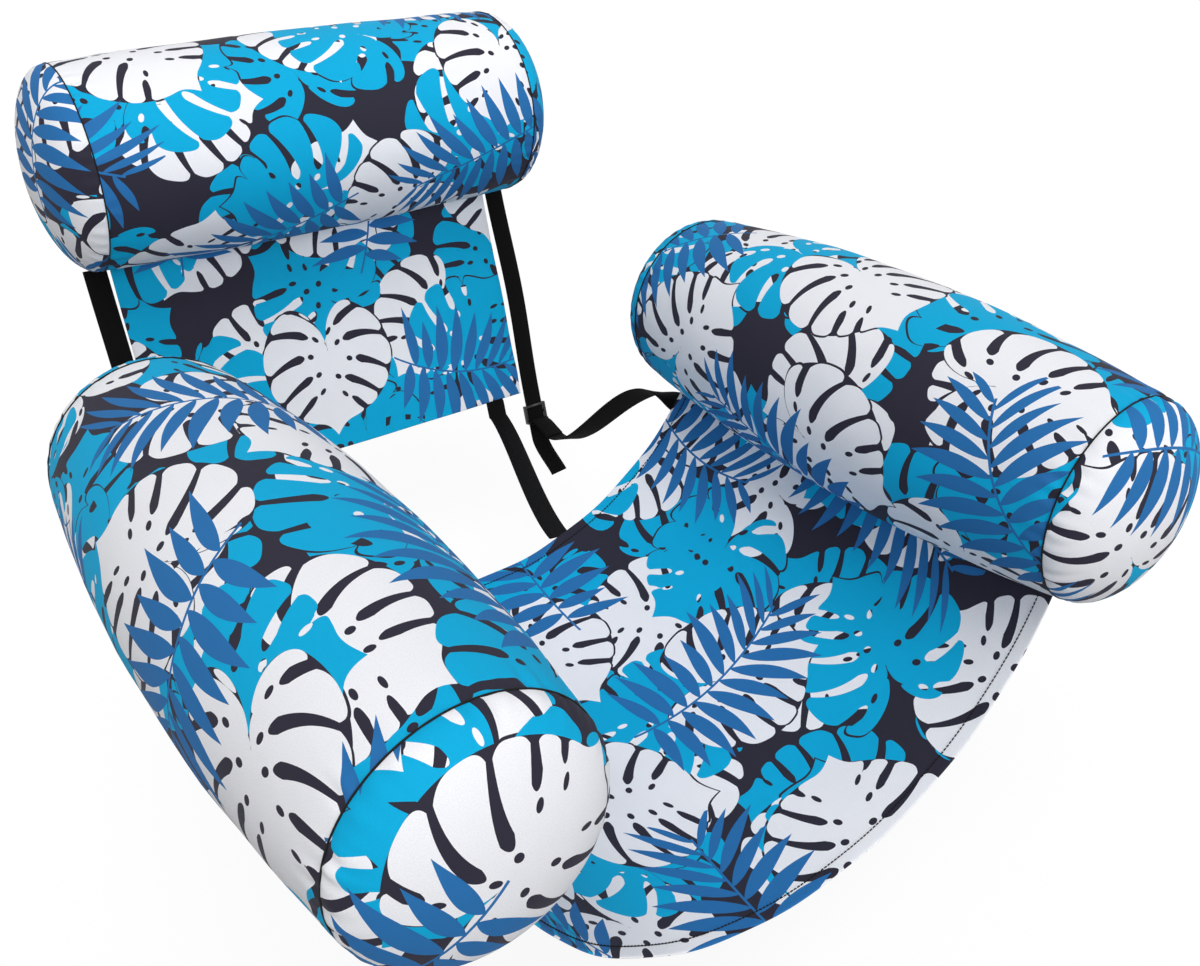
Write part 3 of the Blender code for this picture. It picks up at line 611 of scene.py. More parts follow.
# Sewing thread is twisted polyester, dull black.
sewing_thread = grained_material(
    "black_polyester_thread", "#040404", "#0E0E0F", 0.0006, (0.5, 0.0002),
    {"Roughness": 0.65, "IOR": 1.53, "Specular IOR Level": 0.2})
# The sliders are injection-moulded nylon with a fine spark-eroded grain.
slider_nylon = grained_material(
    "black_moulded_nylon", "#0E0E0F", "#18181A", 0.0008, (0.35, 0.00015),
    {"Roughness": 0.42, "IOR": 1.53})
# The valves are soft clear PVC, glossy where the mould was polished, and a little cloudy.
valve_pvc = grained_material(
    "clear_moulded_pvc", "#D3E0E4", "#E6EEF0", 0.006, (0.2, 0.0003),
    {"Roughness": 0.16, "IOR": 1.54, "Transmission Weight": 0.55, "Coat Weight": 0.3})
# The bladders are welded from calendered PVC film, slightly blue and glossy.
bladder_pvc = grained_material(
    "calendered_pvc_film", "#C2D0D6", "#D4DEE2", 0.03, (0.3, 0.0008),
    {"Roughness": 0.22, "IOR": 1.54, "Coat Weight": 0.2})

# %% [markdown]
# Every piece of cloth here is a grid: rows and columns of points that a formula places. The
# first helpers turn such a grid into a mesh, close it round a float where it should be, and
# write the cloth map. Points that coincide are merged, and the faces are turned outwards.

# %% Making meshes from grids
SAME_POINT = 1e-6


def stand_for(piece, node, body=None):
    """Hides the solid that a piece stands for, and ties the piece to the body that it moves with."""
    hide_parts(node)
    if body:
        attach(piece, body)


def new_object(name, points, faces, maps, material):
    """A mesh object from points and faces, with a cloth map of one (u, v) per face corner."""
    mesh = bpy.data.meshes.new(name)
    mesh.from_pydata(points, [], faces)
    layer = mesh.uv_layers.new(name=CLOTH_MAP)
    layer.data.foreach_set("uv", np.asarray(maps, dtype=np.float32).ravel())
    mesh.materials.append(material)
    work = bmesh.new()
    work.from_mesh(mesh)
    bmesh.ops.remove_doubles(work, verts=work.verts, dist=SAME_POINT)
    bmesh.ops.recalc_face_normals(work, faces=work.faces)
    work.to_mesh(mesh)
    work.free()
    mesh.shade_smooth()
    piece = bpy.data.objects.new(name, mesh)
    bpy.context.scene.collection.objects.link(piece)
    return piece


def lay_grid(name, points, cloth, material, around=False, ring=False):
    """A mesh through a grid of points, shaped (rows, columns, 3).

    `around` joins the last column to the first, and the cloth map then has one column more.
    `ring` joins the last row to the first, and the map then has one row more.
    """
    rows, columns = points.shape[:2]
    faces = []
    maps = []
    for row in range(rows if ring else rows - 1):
        for column in range(columns if around else columns - 1):
            corners = ((row, column), (row, column + 1), (row + 1, column + 1), (row + 1, column))
            faces.append([(r % rows) * columns + c % columns for r, c in corners])
            maps.extend(cloth[r, c] for r, c in corners)
    return new_object(name, points.reshape(-1, 3).tolist(), faces, maps, material)


def thicken(piece, thickness, offset):
    """Gives a cloth its thickness with a Solidify modifier."""
    solid = piece.modifiers.new("thickness", "SOLIDIFY")
    solid.thickness = thickness
    solid.offset = offset
    solid.use_quality_normals = True


def soft_waves(points, seed, longest, shortest, count=8):
    """Slow ripples of about unit height, read at places in space."""
    pick = np.random.default_rng(seed)
    total = np.zeros(points.shape[:-1])
    for _ in range(count):
        heading = pick.normal(size=3)
        heading /= np.linalg.norm(heading)
        wavelength = pick.uniform(shortest, longest)
        total += np.sin(points @ heading * (2.0 * math.pi / wavelength) + pick.uniform(0.0, 2.0 * math.pi))
    return total / math.sqrt(count)


# %% [markdown]
# An inflated cover is a cloth tube sewn shut with two flat discs. Air makes the tube swell
# most at its middle and pushes the discs out into domes. All three floats are made alike, so
# each is described once, by where it lies and how big it is, and every function takes that.

# %% Three floats


class FloatShape(NamedTuple):
    """One float. Its axis points out of the end with the valve, its seam is at its foot."""

    name: str
    plug_body: str
    ends: tuple
    centre: Vector
    axis: Vector
    seam: Vector
    length: float
    end_radius: float
    middle_radius: float


def cover_radius(shape, along):
    """Radius of an inflated cover at a place along it."""
    swell = shape.middle_radius - shape.end_radius
    return shape.middle_radius - swell * (2.0 * along / shape.length) ** 2


def about_axis(shape, radius, along, theta):
    """Points at radii and distances along a float's axis; theta starts at the sewn seam."""
    side = shape.axis.cross(shape.seam)
    outward = (np.cos(theta)[..., None] * np.array(shape.seam) + np.sin(theta)[..., None] * np.array(side))
    return np.array(shape.centre) + along[..., None] * np.array(shape.axis) + radius[..., None] * outward


def round_turns(count, closed=False):
    """Even turns once round; `closed` adds the first again, a full turn later."""
    return np.arange(count + closed) * 2.0 * math.pi / count


floats = {}
for side, way in SIDES.items():
    floats[side] = FloatShape(
        f"{side}_float", f"{side}_plug", ("front", "rear"), Vector((way * side_spacing / 2.0, 0.0, 0.0)),
        FORWARD, Vector((-way * math.sin(SEAM_ANGLE), 0.0, -math.cos(SEAM_ANGLE))),
        SIDE_LENGTH, SIDE_END_RADIUS, SIDE_MIDDLE_RADIUS)
floats["head"] = FloatShape("head_float", "head_plug", ("left", "right"), head_centre, RIGHT, DOWN,
                            HEAD_LENGTH, HEAD_END_RADIUS, HEAD_MIDDLE_RADIUS)
for shape in floats.values():
    print(shape.name, "is", shape.length, "m long and", 2.0 * shape.middle_radius, "m thick")

# %% [markdown]
# Where disc and tube are sewn together there is more cloth than room, so the seam sinks a
# little and short puckers run out from it on both sides. They could come from a cloth
# simulation, but the covers are drum-tight and nearly smooth, so a formula gives the same
# shape and the same result at every run: waves round the float that grow just beside the
# seam and die away within a few centimetres. Along the foot of the tube runs the seam that
# holds the sling or the panel. It pulls the cloth in, with small puckers of its own.

# %% Covers
AROUND = 288
SEAM_DIP = 0.0010
SEAM_SOFTNESS = 0.010
PUCKER = 0.0009
PUCKER_PEAK = 0.007
PUCKER_WAVES = (30, 52)
PUCKER_SINES = 7
PUCKER_PATCHES = (3, 6)
PUCKER_PATCHINESS = 0.25
BROAD_DENT = 0.0006
BROAD_DENT_LENGTHS = (0.16, 0.07)
BROAD_DENT_FROM_SEAM = 0.03
SEWN_RIDGE = 0.0007
SEWN_PUCKER = 0.0008
SEWN_REACH = 0.010
# Wavelength, height and start of the two waves beside the sewn seam
SEWN_WAVES = ((0.017, 1.0, 0.0), (0.0113, 0.6, 1.0))
TURNED_IN = 0.0020
SLEEVE_STEPS_FAR = 12
SLEEVE_STEPS_NEAR = np.array([30.0, 25.0, 21.0, 17.0, 14.0, 11.0, 8.5, 6.0, 4.0, 2.5, 1.2, 0.0]) / 1000.0
FAR_FROM_SEAM = 0.036
RIM_STEPS = np.array([0.0, 0.010, 0.022, 0.036, 0.052, 0.070, 0.092, 0.118, 0.148, 0.185, 0.23])
DOME_TURNS = np.concatenate([RIM_STEPS, np.linspace(0.29, 1.0, 13)]) * math.pi / 2.0
DIP_ON_DOME = 0.02
DOME_SUNK = 0.0004


def pucker_waves(theta, seed):
    """Uneven waves round a float, of about unit height."""
    pick = np.random.default_rng(seed)
    total = np.zeros_like(theta)
    for _ in range(PUCKER_SINES):
        waves = pick.integers(*PUCKER_WAVES)
        total += np.sin(theta * waves + pick.uniform(0.0, 2.0 * math.pi))
    patches = np.sin(theta * pick.integers(*PUCKER_PATCHES) + pick.uniform(0.0, 2.0 * math.pi))
    return total / math.sqrt(PUCKER_SINES) * (1.0 - PUCKER_PATCHINESS + PUCKER_PATCHINESS * patches)


def pucker_height(distance):
    """How high the puckers stand at a distance from the seam."""
    steps = distance / PUCKER_PEAK
    return PUCKER * steps * np.exp(1.0 - steps)


def seam_dip(distance):
    """How far the cloth sinks towards the seam."""
    return SEAM_DIP * np.exp(-(distance / SEAM_SOFTNESS) ** 2)


def sewn_line(shape, theta, along):
    """How far the seam along a sleeve's foot moves the cloth, with the puckers beside it."""
    girth = np.minimum(theta, 2.0 * math.pi - theta) * shape.middle_radius
    near = np.exp(-(girth / SEWN_REACH) ** 2)
    waves = sum(height * np.sin(2.0 * math.pi * along / length + start)
                for length, height, start in SEWN_WAVES)
    return SEWN_PUCKER * (girth / SEWN_REACH) * near * waves - SEWN_RIDGE * near


def cover_piece(name, node, body, points, cloth):
    """A padded piece of a float's cover, through a grid that goes once round."""
    made = lay_grid(name, points, cloth, printed_cloth, around=True)
    thicken(made, FABRIC, -1.0)
    stand_for(made, node, body)


def sleeve(shape, seed, cut_at):
    """The tube of a float's cover, turned in at both ends."""
    half_length = shape.length / 2.0
    half = np.concatenate([np.linspace(0.0, half_length - FAR_FROM_SEAM, SLEEVE_STEPS_FAR),
                           half_length - SLEEVE_STEPS_NEAR])
    theta, along = np.meshgrid(round_turns(AROUND), np.concatenate([-half[:0:-1], half]))
    from_seam = half_length - np.abs(along)
    waves = np.where(along < 0.0, pucker_waves(theta, seed), pucker_waves(theta, seed + 1))
    radius = cover_radius(shape, along) - seam_dip(from_seam) + pucker_height(from_seam) * waves
    radius += sewn_line(shape, theta, along)
    dents = soft_waves(about_axis(shape, radius, along, theta), seed, *BROAD_DENT_LENGTHS)
    radius += BROAD_DENT * dents * np.minimum(from_seam / BROAD_DENT_FROM_SEAM, 1.0)
    radius, along, theta = (np.pad(grid, ((1, 1), (0, 0)), mode="edge") for grid in (radius, along, theta))
    radius[[0, -1]] -= TURNED_IN
    cut_u, cut_v = np.meshgrid(round_turns(AROUND, closed=True) * shape.middle_radius, along[:, 0])
    cloth = np.stack([cut_u + cut_at[0], cut_v + cut_at[1]], axis=-1)
    cover_piece(f"{shape.name}_sleeve_cover", f"{shape.name}_sleeve", shape.name,
                about_axis(shape, radius, along, theta), cloth)


def cap(shape, end, seed, cut_at, hole):
    """One domed end of a cover; the shape's axis points out of this end."""
    turns = np.unique(np.minimum(DOME_TURNS, math.acos(hole / shape.end_radius)))
    theta, turn = np.meshgrid(round_turns(AROUND), turns)
    rim = shape.end_radius - SEAM_DIP
    steps = np.hypot(np.diff(rim * np.cos(turns)), np.diff(DOME_DEPTH * np.sin(turns)))
    flat = np.concatenate([[0.0], np.cumsum(steps)])
    from_seam = np.broadcast_to(flat[:, None], theta.shape)
    lift = pucker_height(from_seam) * pucker_waves(theta, seed)
    out_of_dip = SEAM_DIP * np.minimum(from_seam / DIP_ON_DOME, 1.0)
    radius = (rim + lift + out_of_dip) * np.cos(turn)
    height = shape.length / 2.0 + GAP + (DOME_DEPTH + lift) * np.sin(turn) - DOME_SUNK
    radius, height, theta = (np.pad(grid, ((1, 0), (0, 0)), mode="edge") for grid in (radius, height, theta))
    radius[0] -= TURNED_IN
    cut_theta = round_turns(AROUND, closed=True)
    reach = flat[-1] - np.concatenate([[0.0], flat])[:, None]
    cloth = np.stack([reach * np.cos(cut_theta) + cut_at[0], reach * np.sin(cut_theta) + cut_at[1]], axis=-1)
    cover_piece(f"{shape.name}_{end}_cap_cover", f"{shape.name}_{end}_cap", shape.name,
                about_axis(shape, radius, height, theta), cloth)


print("covers: seams dip", SEAM_DIP * 1000.0, "mm, puckers stand", PUCKER * 1000.0, "mm")

# %% [markdown]
# A thin black cord is caught in each cap seam. It lies in the dip between sleeve and cap, so
# from a little way off it reads as the dark line that outlines each float's end.

# %% Cord in the cap seams
CORD_RADIUS = 0.0009
CORD_SIDES = 8
CORD_OUT_OF_SEAM = 0.35
MAP_STEP = 0.001


def seam_cord(shape, end):
    """A closed ring of cord in the dip of a cap seam."""
    theta, turn = np.meshgrid(round_turns(AROUND), round_turns(CORD_SIDES))
    radius = shape.end_radius - SEAM_DIP + CORD_RADIUS * (CORD_OUT_OF_SEAM + np.cos(turn))
    along = shape.length / 2.0 + GAP / 2.0 + CORD_RADIUS * np.sin(turn)
    girth = round_turns(AROUND, closed=True) * shape.end_radius
    cloth = np.stack(np.meshgrid(girth, np.arange(CORD_SIDES + 1) * MAP_STEP), axis=-1)
    made = lay_grid(f"{shape.name}_{end}_seam_cord", about_axis(shape, radius, along, theta), cloth,
                    sewing_thread, around=True, ring=True)
    stand_for(made, f"{shape.name}_{end}_piping", shape.name)


print("cord:", 2000.0 * CORD_RADIUS, "mm thick")

# %% [markdown]
# Straps and tethers are flat bands that follow a curve. A band needs two things at each
# point: the way it runs and the way its width lies. The helper sweeps a slim section with
# rounded edges along the path, and maps the width and the running length onto the cloth map,
# so that the ribs of the webbing stay true round every bend.

# %% Bands
BAND_EDGE = 0.7
BAND_SHARP_FROM = math.radians(60.0)


def bend(start, pull_start, pull_end, end, steps):
    """Points of a cubic curve, both ends included."""
    points = []
    for step in range(steps + 1):
        t = step / steps
        points.append(start * (1 - t) ** 3 + pull_start * (3 * t * (1 - t) ** 2)
                      + pull_end * (3 * t * t * (1 - t)) + end * t ** 3)
    return points


def smooth_path(points, steps):
    """A curve through all the points, with some steps between each two."""
    path = []
    for number in range(len(points) - 1):
        before = points[max(number - 1, 0)]
        start, end = points[number], points[number + 1]
        after = points[min(number + 2, len(points) - 1)]
        span = (end - start).length
        leave = (end - before).normalized() * span / 3.0
        arrive = (after - start).normalized() * span / 3.0
        path += bend(start, start + leave, end - arrive, end, steps)[:-1]
    return path + [points[-1]]


def band(name, path, across, width, thickness, material):
    """A flat band with rounded edges, swept along a path."""
    half = width / 2.0
    near_edge = half - thickness * BAND_EDGE
    outline = [(-half, 0.0), (-near_edge, 0.5), (-half / 3.0, 0.5), (half / 3.0, 0.5), (near_edge, 0.5),
               (half, 0.0), (near_edge, -0.5), (half / 3.0, -0.5), (-half / 3.0, -0.5), (-near_edge, -0.5)]
    points = []
    cloth = []
    run = 0.0
    for number, point in enumerate(path):
        before = path[max(number - 1, 0)]
        after = path[min(number + 1, len(path) - 1)]
        forward = (after - before).normalized()
        wide = (across[number] - forward * across[number].dot(forward)).normalized()
        face = forward.cross(wide)
        if number:
            run += (point - before).length
        points += [tuple(point + wide * a + face * (b * thickness)) for a, b in outline]
        cloth.append([(a, run) for a, _ in outline])
    corners = len(outline)
    last = (len(path) - 1) * corners
    faces = [list(range(corners)), list(range(last, last + corners))]
    maps = cloth[0] + cloth[-1]
    for row in range(len(path) - 1):
        for corner in range(corners):
            after = (corner + 1) % corners
            faces.append([row * corners + corner, row * corners + after,
                          (row + 1) * corners + after, (row + 1) * corners + corner])
            maps += [cloth[row][corner], cloth[row][after], cloth[row + 1][after], cloth[row + 1][corner]]
    made = new_object(name, points, faces, maps, material)
    made.data.set_sharp_from_angle(angle=BAND_SHARP_FROM)
    return made


# %% [markdown]
# The bladder can't be seen from outside, but it is what holds the air: two domes and a tube
# of thin vinyl film, a little smaller than the cover. Like the valve it is a turned shape, a
# profile of radii and heights that goes once round the axis.

# %% Bladder
BLADDER_INSET = 0.0028
FILM = 0.0004
FILM_DOME_FROM = 0.12
FILM_DOME_STEPS = 10
FILM_TUBE_STEPS = 21
AROUND_BLADDER = 72
STEM_RADIUS = 0.0065


def turned_piece(name, profile, shape, material, steps, ring):
    """A profile of (radius, distance along the axis) turned about a float's axis."""
    radii, alongs = np.array(profile).T
    theta, along = np.meshgrid(round_turns(steps), alongs)
    radius = np.broadcast_to(radii[:, None], theta.shape)
    rows = len(profile) + ring
    cloth = np.stack(np.meshgrid(np.arange(steps + 1) * MAP_STEP, np.arange(rows) * MAP_STEP), axis=-1)
    return lay_grid(name, about_axis(shape, radius, along, theta), cloth, material, around=True, ring=ring)


def bladder(shape):
    """The film inside a float, with a hole for the valve's stem."""
    half_length = shape.length / 2.0
    dome_radius = shape.end_radius - BLADDER_INSET
    dome_depth = DOME_DEPTH - BLADDER_INSET
    stem_turn = math.acos((STEM_RADIUS + GAP) / shape.end_radius)
    near_turns = np.linspace(math.pi / 2.0, FILM_DOME_FROM, FILM_DOME_STEPS)
    far_turns = np.linspace(FILM_DOME_FROM, stem_turn, FILM_DOME_STEPS)
    profile = [(dome_radius * math.cos(turn), -half_length - GAP - dome_depth * math.sin(turn))
               for turn in near_turns]
    profile += [(cover_radius(shape, along) - BLADDER_INSET, along)
                for along in np.linspace(-half_length, half_length, FILM_TUBE_STEPS)]
    profile += [(dome_radius * math.cos(turn), half_length + GAP + dome_depth * math.sin(turn))
                for turn in far_turns]
    film = turned_piece(f"{shape.name}_bladder_film", profile, shape, bladder_pvc, AROUND_BLADDER,
                        ring=False)
    thicken(film, FILM, -1.0)
    stand_for(film, f"{shape.name}_bladder", shape.name)


print("bladder:", BLADDER_INSET * 1000.0, "mm inside its cover")

# %% [markdown]
# The valve is the only moulded part of a float: a clear PVC stem that comes out through the
# cap, a flange welded to the bladder's inside, a stopper with a pull knob, and a soft tether
# that keeps the stopper from getting lost. A mould leaves no sharp edge, so every inner
# corner of a profile gets a short round.

# %% Valve
STEM_BORE = 0.0045
STEM_RISE = 0.0080
STEM_BEAD = 0.0006
STEM_BEAD_FROM_END = (0.0022, 0.0018)
FLANGE_RADIUS = 0.0170
FLANGE_THICKNESS = 0.0010
FLANGE_BELOW_FILM = 0.0006
PLUG_HEAD_RADIUS = 0.0080
PLUG_HEAD_THICKNESS = 0.0020
PLUG_DEPTH = 0.0075
PLUG_STRAIGHT = 0.0060
PLUG_TAPER = 0.85
KNOB_RADIUS = 0.0032
KNOB_RISE = 0.0024
KNOB_NECK = 0.75
KNOB_NECK_RISE = (0.0008, 0.0012)
TETHER_WIDTH = 0.0040
TETHER_THICKNESS = 0.0009
TETHER_REACH = 0.011
TETHER_RISE = 0.0032
TETHER_STEPS = 24
TETHER_OFF_STEM = 0.0001
TETHER_IN_PLUG = 0.0002
AROUND_VALVE = 48
EDGE_ROUNDING = 0.0005
EDGE_OVER_ROUND = 2.2
ROUND_TO_CHORD = 0.45


def rounded_profile(corners):
    """A profile whose inner corners are cut by a short three-point round."""
    profile = [corners[0]]
    for before, corner, after in zip(corners, corners[1:], corners[2:]):
        back = np.array(before) - np.array(corner)
        ahead = np.array(after) - np.array(corner)
        shorter = min(np.linalg.norm(back), np.linalg.norm(ahead))
        reach = min(EDGE_ROUNDING, shorter / EDGE_OVER_ROUND)
        start = np.array(corner) + back / np.linalg.norm(back) * reach
        end = np.array(corner) + ahead / np.linalg.norm(ahead) * reach
        middle = (start + end) / 2.0 * ROUND_TO_CHORD + np.array(corner) * (1.0 - ROUND_TO_CHORD)
        profile += [tuple(start), tuple(middle), tuple(end)]
    return profile + [corners[-1]]


def valve(shape):
    """Stem, stopper and tether in the end that the float's axis points out of."""
    cap_top = shape.length / 2.0 + GAP + DOME_DEPTH
    stem_end = cap_top + STEM_RISE
    flange_top = cap_top - BLADDER_INSET - FLANGE_BELOW_FILM
    flange_foot = flange_top - FLANGE_THICKNESS
    bead_foot, bead_top = (stem_end - distance for distance in STEM_BEAD_FROM_END)
    stem_corners = [
        (STEM_BORE, flange_foot), (FLANGE_RADIUS, flange_foot), (FLANGE_RADIUS, flange_top),
        (STEM_RADIUS, flange_top), (STEM_RADIUS, bead_foot), (STEM_RADIUS + STEM_BEAD, bead_top),
        (STEM_RADIUS + STEM_BEAD, stem_end), (STEM_BORE, stem_end), (STEM_BORE, flange_foot)]
    stem = turned_piece(f"{shape.name}_valve_tube", rounded_profile(stem_corners)[:-1], shape, valve_pvc,
                        AROUND_VALVE, ring=True)
    stand_for(stem, f"{shape.name}_valve_stem", shape.name)

    head_foot = stem_end + GAP
    head_top = head_foot + PLUG_HEAD_THICKNESS
    neck_top, knob_foot = (head_top + rise for rise in KNOB_NECK_RISE)
    knob_top = head_top + KNOB_RISE
    stopper = STEM_BORE - GAP
    neck = KNOB_RADIUS * KNOB_NECK
    plug_corners = [
        (0.0, stem_end - PLUG_DEPTH), (stopper * PLUG_TAPER, stem_end - PLUG_DEPTH),
        (stopper, stem_end - PLUG_STRAIGHT), (stopper, head_foot), (PLUG_HEAD_RADIUS, head_foot),
        (PLUG_HEAD_RADIUS, head_top), (neck, head_top), (neck, neck_top), (KNOB_RADIUS, knob_foot),
        (KNOB_RADIUS, knob_top), (0.0, knob_top)]
    plug = turned_piece(f"{shape.name}_valve_stopper", rounded_profile(plug_corners), shape, valve_pvc,
                        AROUND_VALVE, ring=False)
    stand_for(plug, f"{shape.name}_valve_plug", shape.plug_body)

    low = shape.centre + shape.axis * (cap_top + TETHER_RISE)
    high = shape.centre + shape.axis * ((head_foot + head_top) / 2.0)
    start = low + shape.seam * (STEM_RADIUS + TETHER_OFF_STEM)
    end = high + shape.seam * (PLUG_HEAD_RADIUS - TETHER_IN_PLUG)
    reach = shape.seam * (PLUG_HEAD_RADIUS + TETHER_REACH)
    path = bend(start, low + reach, high + reach, end, TETHER_STEPS)
    across = [shape.axis.cross(shape.seam)] * len(path)
    tether = band(f"{shape.name}_valve_strap", path, across, TETHER_WIDTH, TETHER_THICKNESS, valve_pvc)
    stand_for(tether, f"{shape.name}_valve_tether")
    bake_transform(tether)


print("valve: stopper", 2000.0 * PLUG_HEAD_RADIUS, "mm wide")

# %% [markdown]
# Now the three floats can be dressed. Each gets its sleeve, its two caps, its two cords, its
# bladder and its valve from the same functions. The cloth of each is cut from another part of
# the print, and the caps that the photograph shows are cut where large leaves lie.

# %% Dressing the floats
STEM_HOLE = STEM_RADIUS + 0.0006
HIDDEN_CAP_FROM_SLEEVE = (-0.83, 0.57)
# Where the sleeve and the near cap are cut from the print, and the seed of the puckers
FLOAT_CUTS = {
    "left": ((2.0, 0.4), (3.61, 0.486), 11),
    "right": ((3.7, 2.7), (3.15, 0.426), 21),
    "head": ((-1.3, -2.1), (2.59, 0.516), 41),
}

for place, (sleeve_cut, near_cut, seed) in FLOAT_CUTS.items():
    shape = floats[place]
    near, far = shape.ends
    near_shape = shape._replace(axis=-shape.axis)
    far_cut = (sleeve_cut[0] + HIDDEN_CAP_FROM_SLEEVE[0], sleeve_cut[1] + HIDDEN_CAP_FROM_SLEEVE[1])
    sleeve(shape, seed, sleeve_cut)
    cap(near_shape, near, seed, near_cut, hole=0.0)
    cap(shape, far, seed + 1, far_cut, hole=STEM_HOLE)
    seam_cord(near_shape, near)
    seam_cord(shape, far)
    bladder(shape)
    valve(shape)

# %% [markdown]
# The sling is one sheet that hangs in an arc between the seams of the side floats, deeper in
# front than behind. Its front and rear edges are turned under and sewn, which is a hem. The
# fold is real geometry here: past the edge the cloth goes round a small half circle and
# comes back underneath, and a line of stitches runs 13 mm inside it.

# %% Hems
HEM = 0.016
HEM_FOLD_RADIUS = 0.0007
STITCH_INSET = 0.013
FOLD_STEPS = 6
WIDE_ROWS_TO = 0.020
EDGE_ROWS = np.array([15.0, 12.0, 9.0, 6.0, 3.0]) / 1000.0
HEM_BACK_SHARES = (0.1, 0.3, 0.55, 0.8, 1.0)


def hem_places(edge, count):
    """Distances over the cloth from its middle line to a hemmed edge and round it."""
    flat = [*np.linspace(0.0, edge - WIDE_ROWS_TO, count), *(edge - EDGE_ROWS)]
    arc = [edge + HEM_FOLD_RADIUS * math.pi * step / FOLD_STEPS for step in range(FOLD_STEPS + 1)]
    back = [arc[-1] + HEM * share for share in HEM_BACK_SHARES]
    return np.array(flat + arc + back)


def folded(distance, edge):
    """Where a place on the cloth lies once the hem is folded: distance in, and depth below."""
    over = np.maximum(distance - edge, 0.0)
    turn = np.minimum(over / HEM_FOLD_RADIUS, math.pi)
    back = np.maximum(over - math.pi * HEM_FOLD_RADIUS, 0.0)
    place = np.where(over > 0.0, edge + HEM_FOLD_RADIUS * np.sin(turn) - back, distance)
    depth = HEM_FOLD_RADIUS * (1.0 - np.cos(turn))
    return place, depth


print("hems:", HEM * 1000.0, "mm wide")

# %% [markdown]
# Each line across the sling is part of a circle. The two seams and the sag fix that circle,
# so a place on the cloth is a distance along the seat and a share of the circle's half angle.
# A sheet under load is smooth, but it is never perfect: slow ripples run through it, and
# small waves run along the hems, where the cloth is stiffer.

# %% Sling seat
SLING_COLUMNS = 120
SLING_ROWS = 22
SLING_IN_SEAM = 0.0002
SLING_RIPPLE = 0.0011
SLING_RIPPLE_LENGTHS = (0.30, 0.12)
SLING_RIPPLE_SEED = 77
HEM_CALM = 0.8
HEM_CALM_REACH = 0.05
HEM_WAVE = 0.0009
HEM_WAVES = 21.0
HEM_WAVE_REACH = 0.03
SIDE_CALM_POWER = 8
SLING_CUT = (5.2, 3.1)
sling_end = SIDE_LENGTH / 2.0 - SLING_END_SETBACK


def sling_arc(y):
    """Height of the arc's centre, its radius and its half angle at y."""
    reach = cover_radius(floats["right"], y) - SLING_IN_SEAM
    half_width = side_spacing / 2.0 - reach * math.sin(SEAM_ANGLE)
    seam_height = -reach * math.cos(SEAM_ANGLE)
    share = (y + sling_end) / (2.0 * sling_end)
    sag = SLING_SAG_FRONT + (SLING_SAG_REAR - SLING_SAG_FRONT) * share
    radius = (half_width ** 2 + sag ** 2) / (2.0 * sag)
    return seam_height - sag + radius, radius, np.arcsin(half_width / radius)


def sling_place(y, share, lift=0.0):
    """A place on the sling at y and at a share of its half angle, lifted off the cloth."""
    centre_height, radius, half_angle = sling_arc(y)
    angle = share * half_angle
    reach = radius - lift
    return np.stack([reach * np.sin(angle), y + 0.0 * angle, centre_height - reach * np.cos(angle)], axis=-1)


def sling_waves(y, share):
    """How far its ripples and the waves along its hems lift the sling at a place."""
    from_edge = sling_end - np.abs(y)
    hem_ease = 1.0 - HEM_CALM * np.exp(-(from_edge / HEM_CALM_REACH) ** 2)
    ripple = soft_waves(sling_place(y, share), SLING_RIPPLE_SEED, *SLING_RIPPLE_LENGTHS) * hem_ease
    hem_wave = np.sin(share * HEM_WAVES + np.sign(y)) * np.exp(-from_edge / HEM_WAVE_REACH)
    return (SLING_RIPPLE * ripple + HEM_WAVE * hem_wave) * (1.0 - share ** SIDE_CALM_POWER)


rear_half = hem_places(sling_end, SLING_ROWS)
cloth_y = np.concatenate([-rear_half[:0:-1], rear_half])
folded_y, hem_depth = folded(np.abs(cloth_y), sling_end)
grid_share, grid_y = np.meshgrid(np.linspace(-1.0, 1.0, SLING_COLUMNS + 1), np.sign(cloth_y) * folded_y)
sling_points = sling_place(grid_y, grid_share, sling_waves(grid_y, grid_share) - hem_depth[:, None])
half_arc = sling_arc(0.0)[1] * sling_arc(0.0)[2]
sling_cloth = np.stack([grid_share * half_arc + SLING_CUT[0],
                        np.broadcast_to(cloth_y[:, None], grid_share.shape) + SLING_CUT[1]], axis=-1)
sling = lay_grid("seat_sling_cloth", sling_points, sling_cloth, printed_cloth)
thicken(sling, FABRIC, 0.0)
stand_for(sling, "seat_sling", "seat")
print("sling: arc", round(2.0 * half_arc, 3), "m, hem to hem", round(2.0 * sling_end, 3), "m")

# %% [markdown]
# Stitches are short lengths of thread that come up out of the cloth, lie on it, and dive
# back in. Each is a tiny six-sided bar with narrow sunken ends, and the row follows the
# cloth. Seen from the camera the row reads as one thin black line.

# %% Rows of stitches
STITCH_LENGTH = 0.0042
STITCH_GAP = 0.0005
STITCH_RADIUS = 0.0008
STITCH_SIDES = 6
# Share of a stitch's length, size of its section there, and how high it lies, in radii
STITCH_SECTIONS = (
    (0.0, 0.35, -1.3), (0.12, 0.9, -0.1), (0.5, 1.0, 0.35), (0.88, 0.9, -0.1), (1.0, 0.35, -1.3))
STITCH_SUNK = 0.4
LOOK_AHEAD = 0.0005
LINE_END = 0.995
LINE_STEPS = 400
NORMAL_LENGTH = 0.01


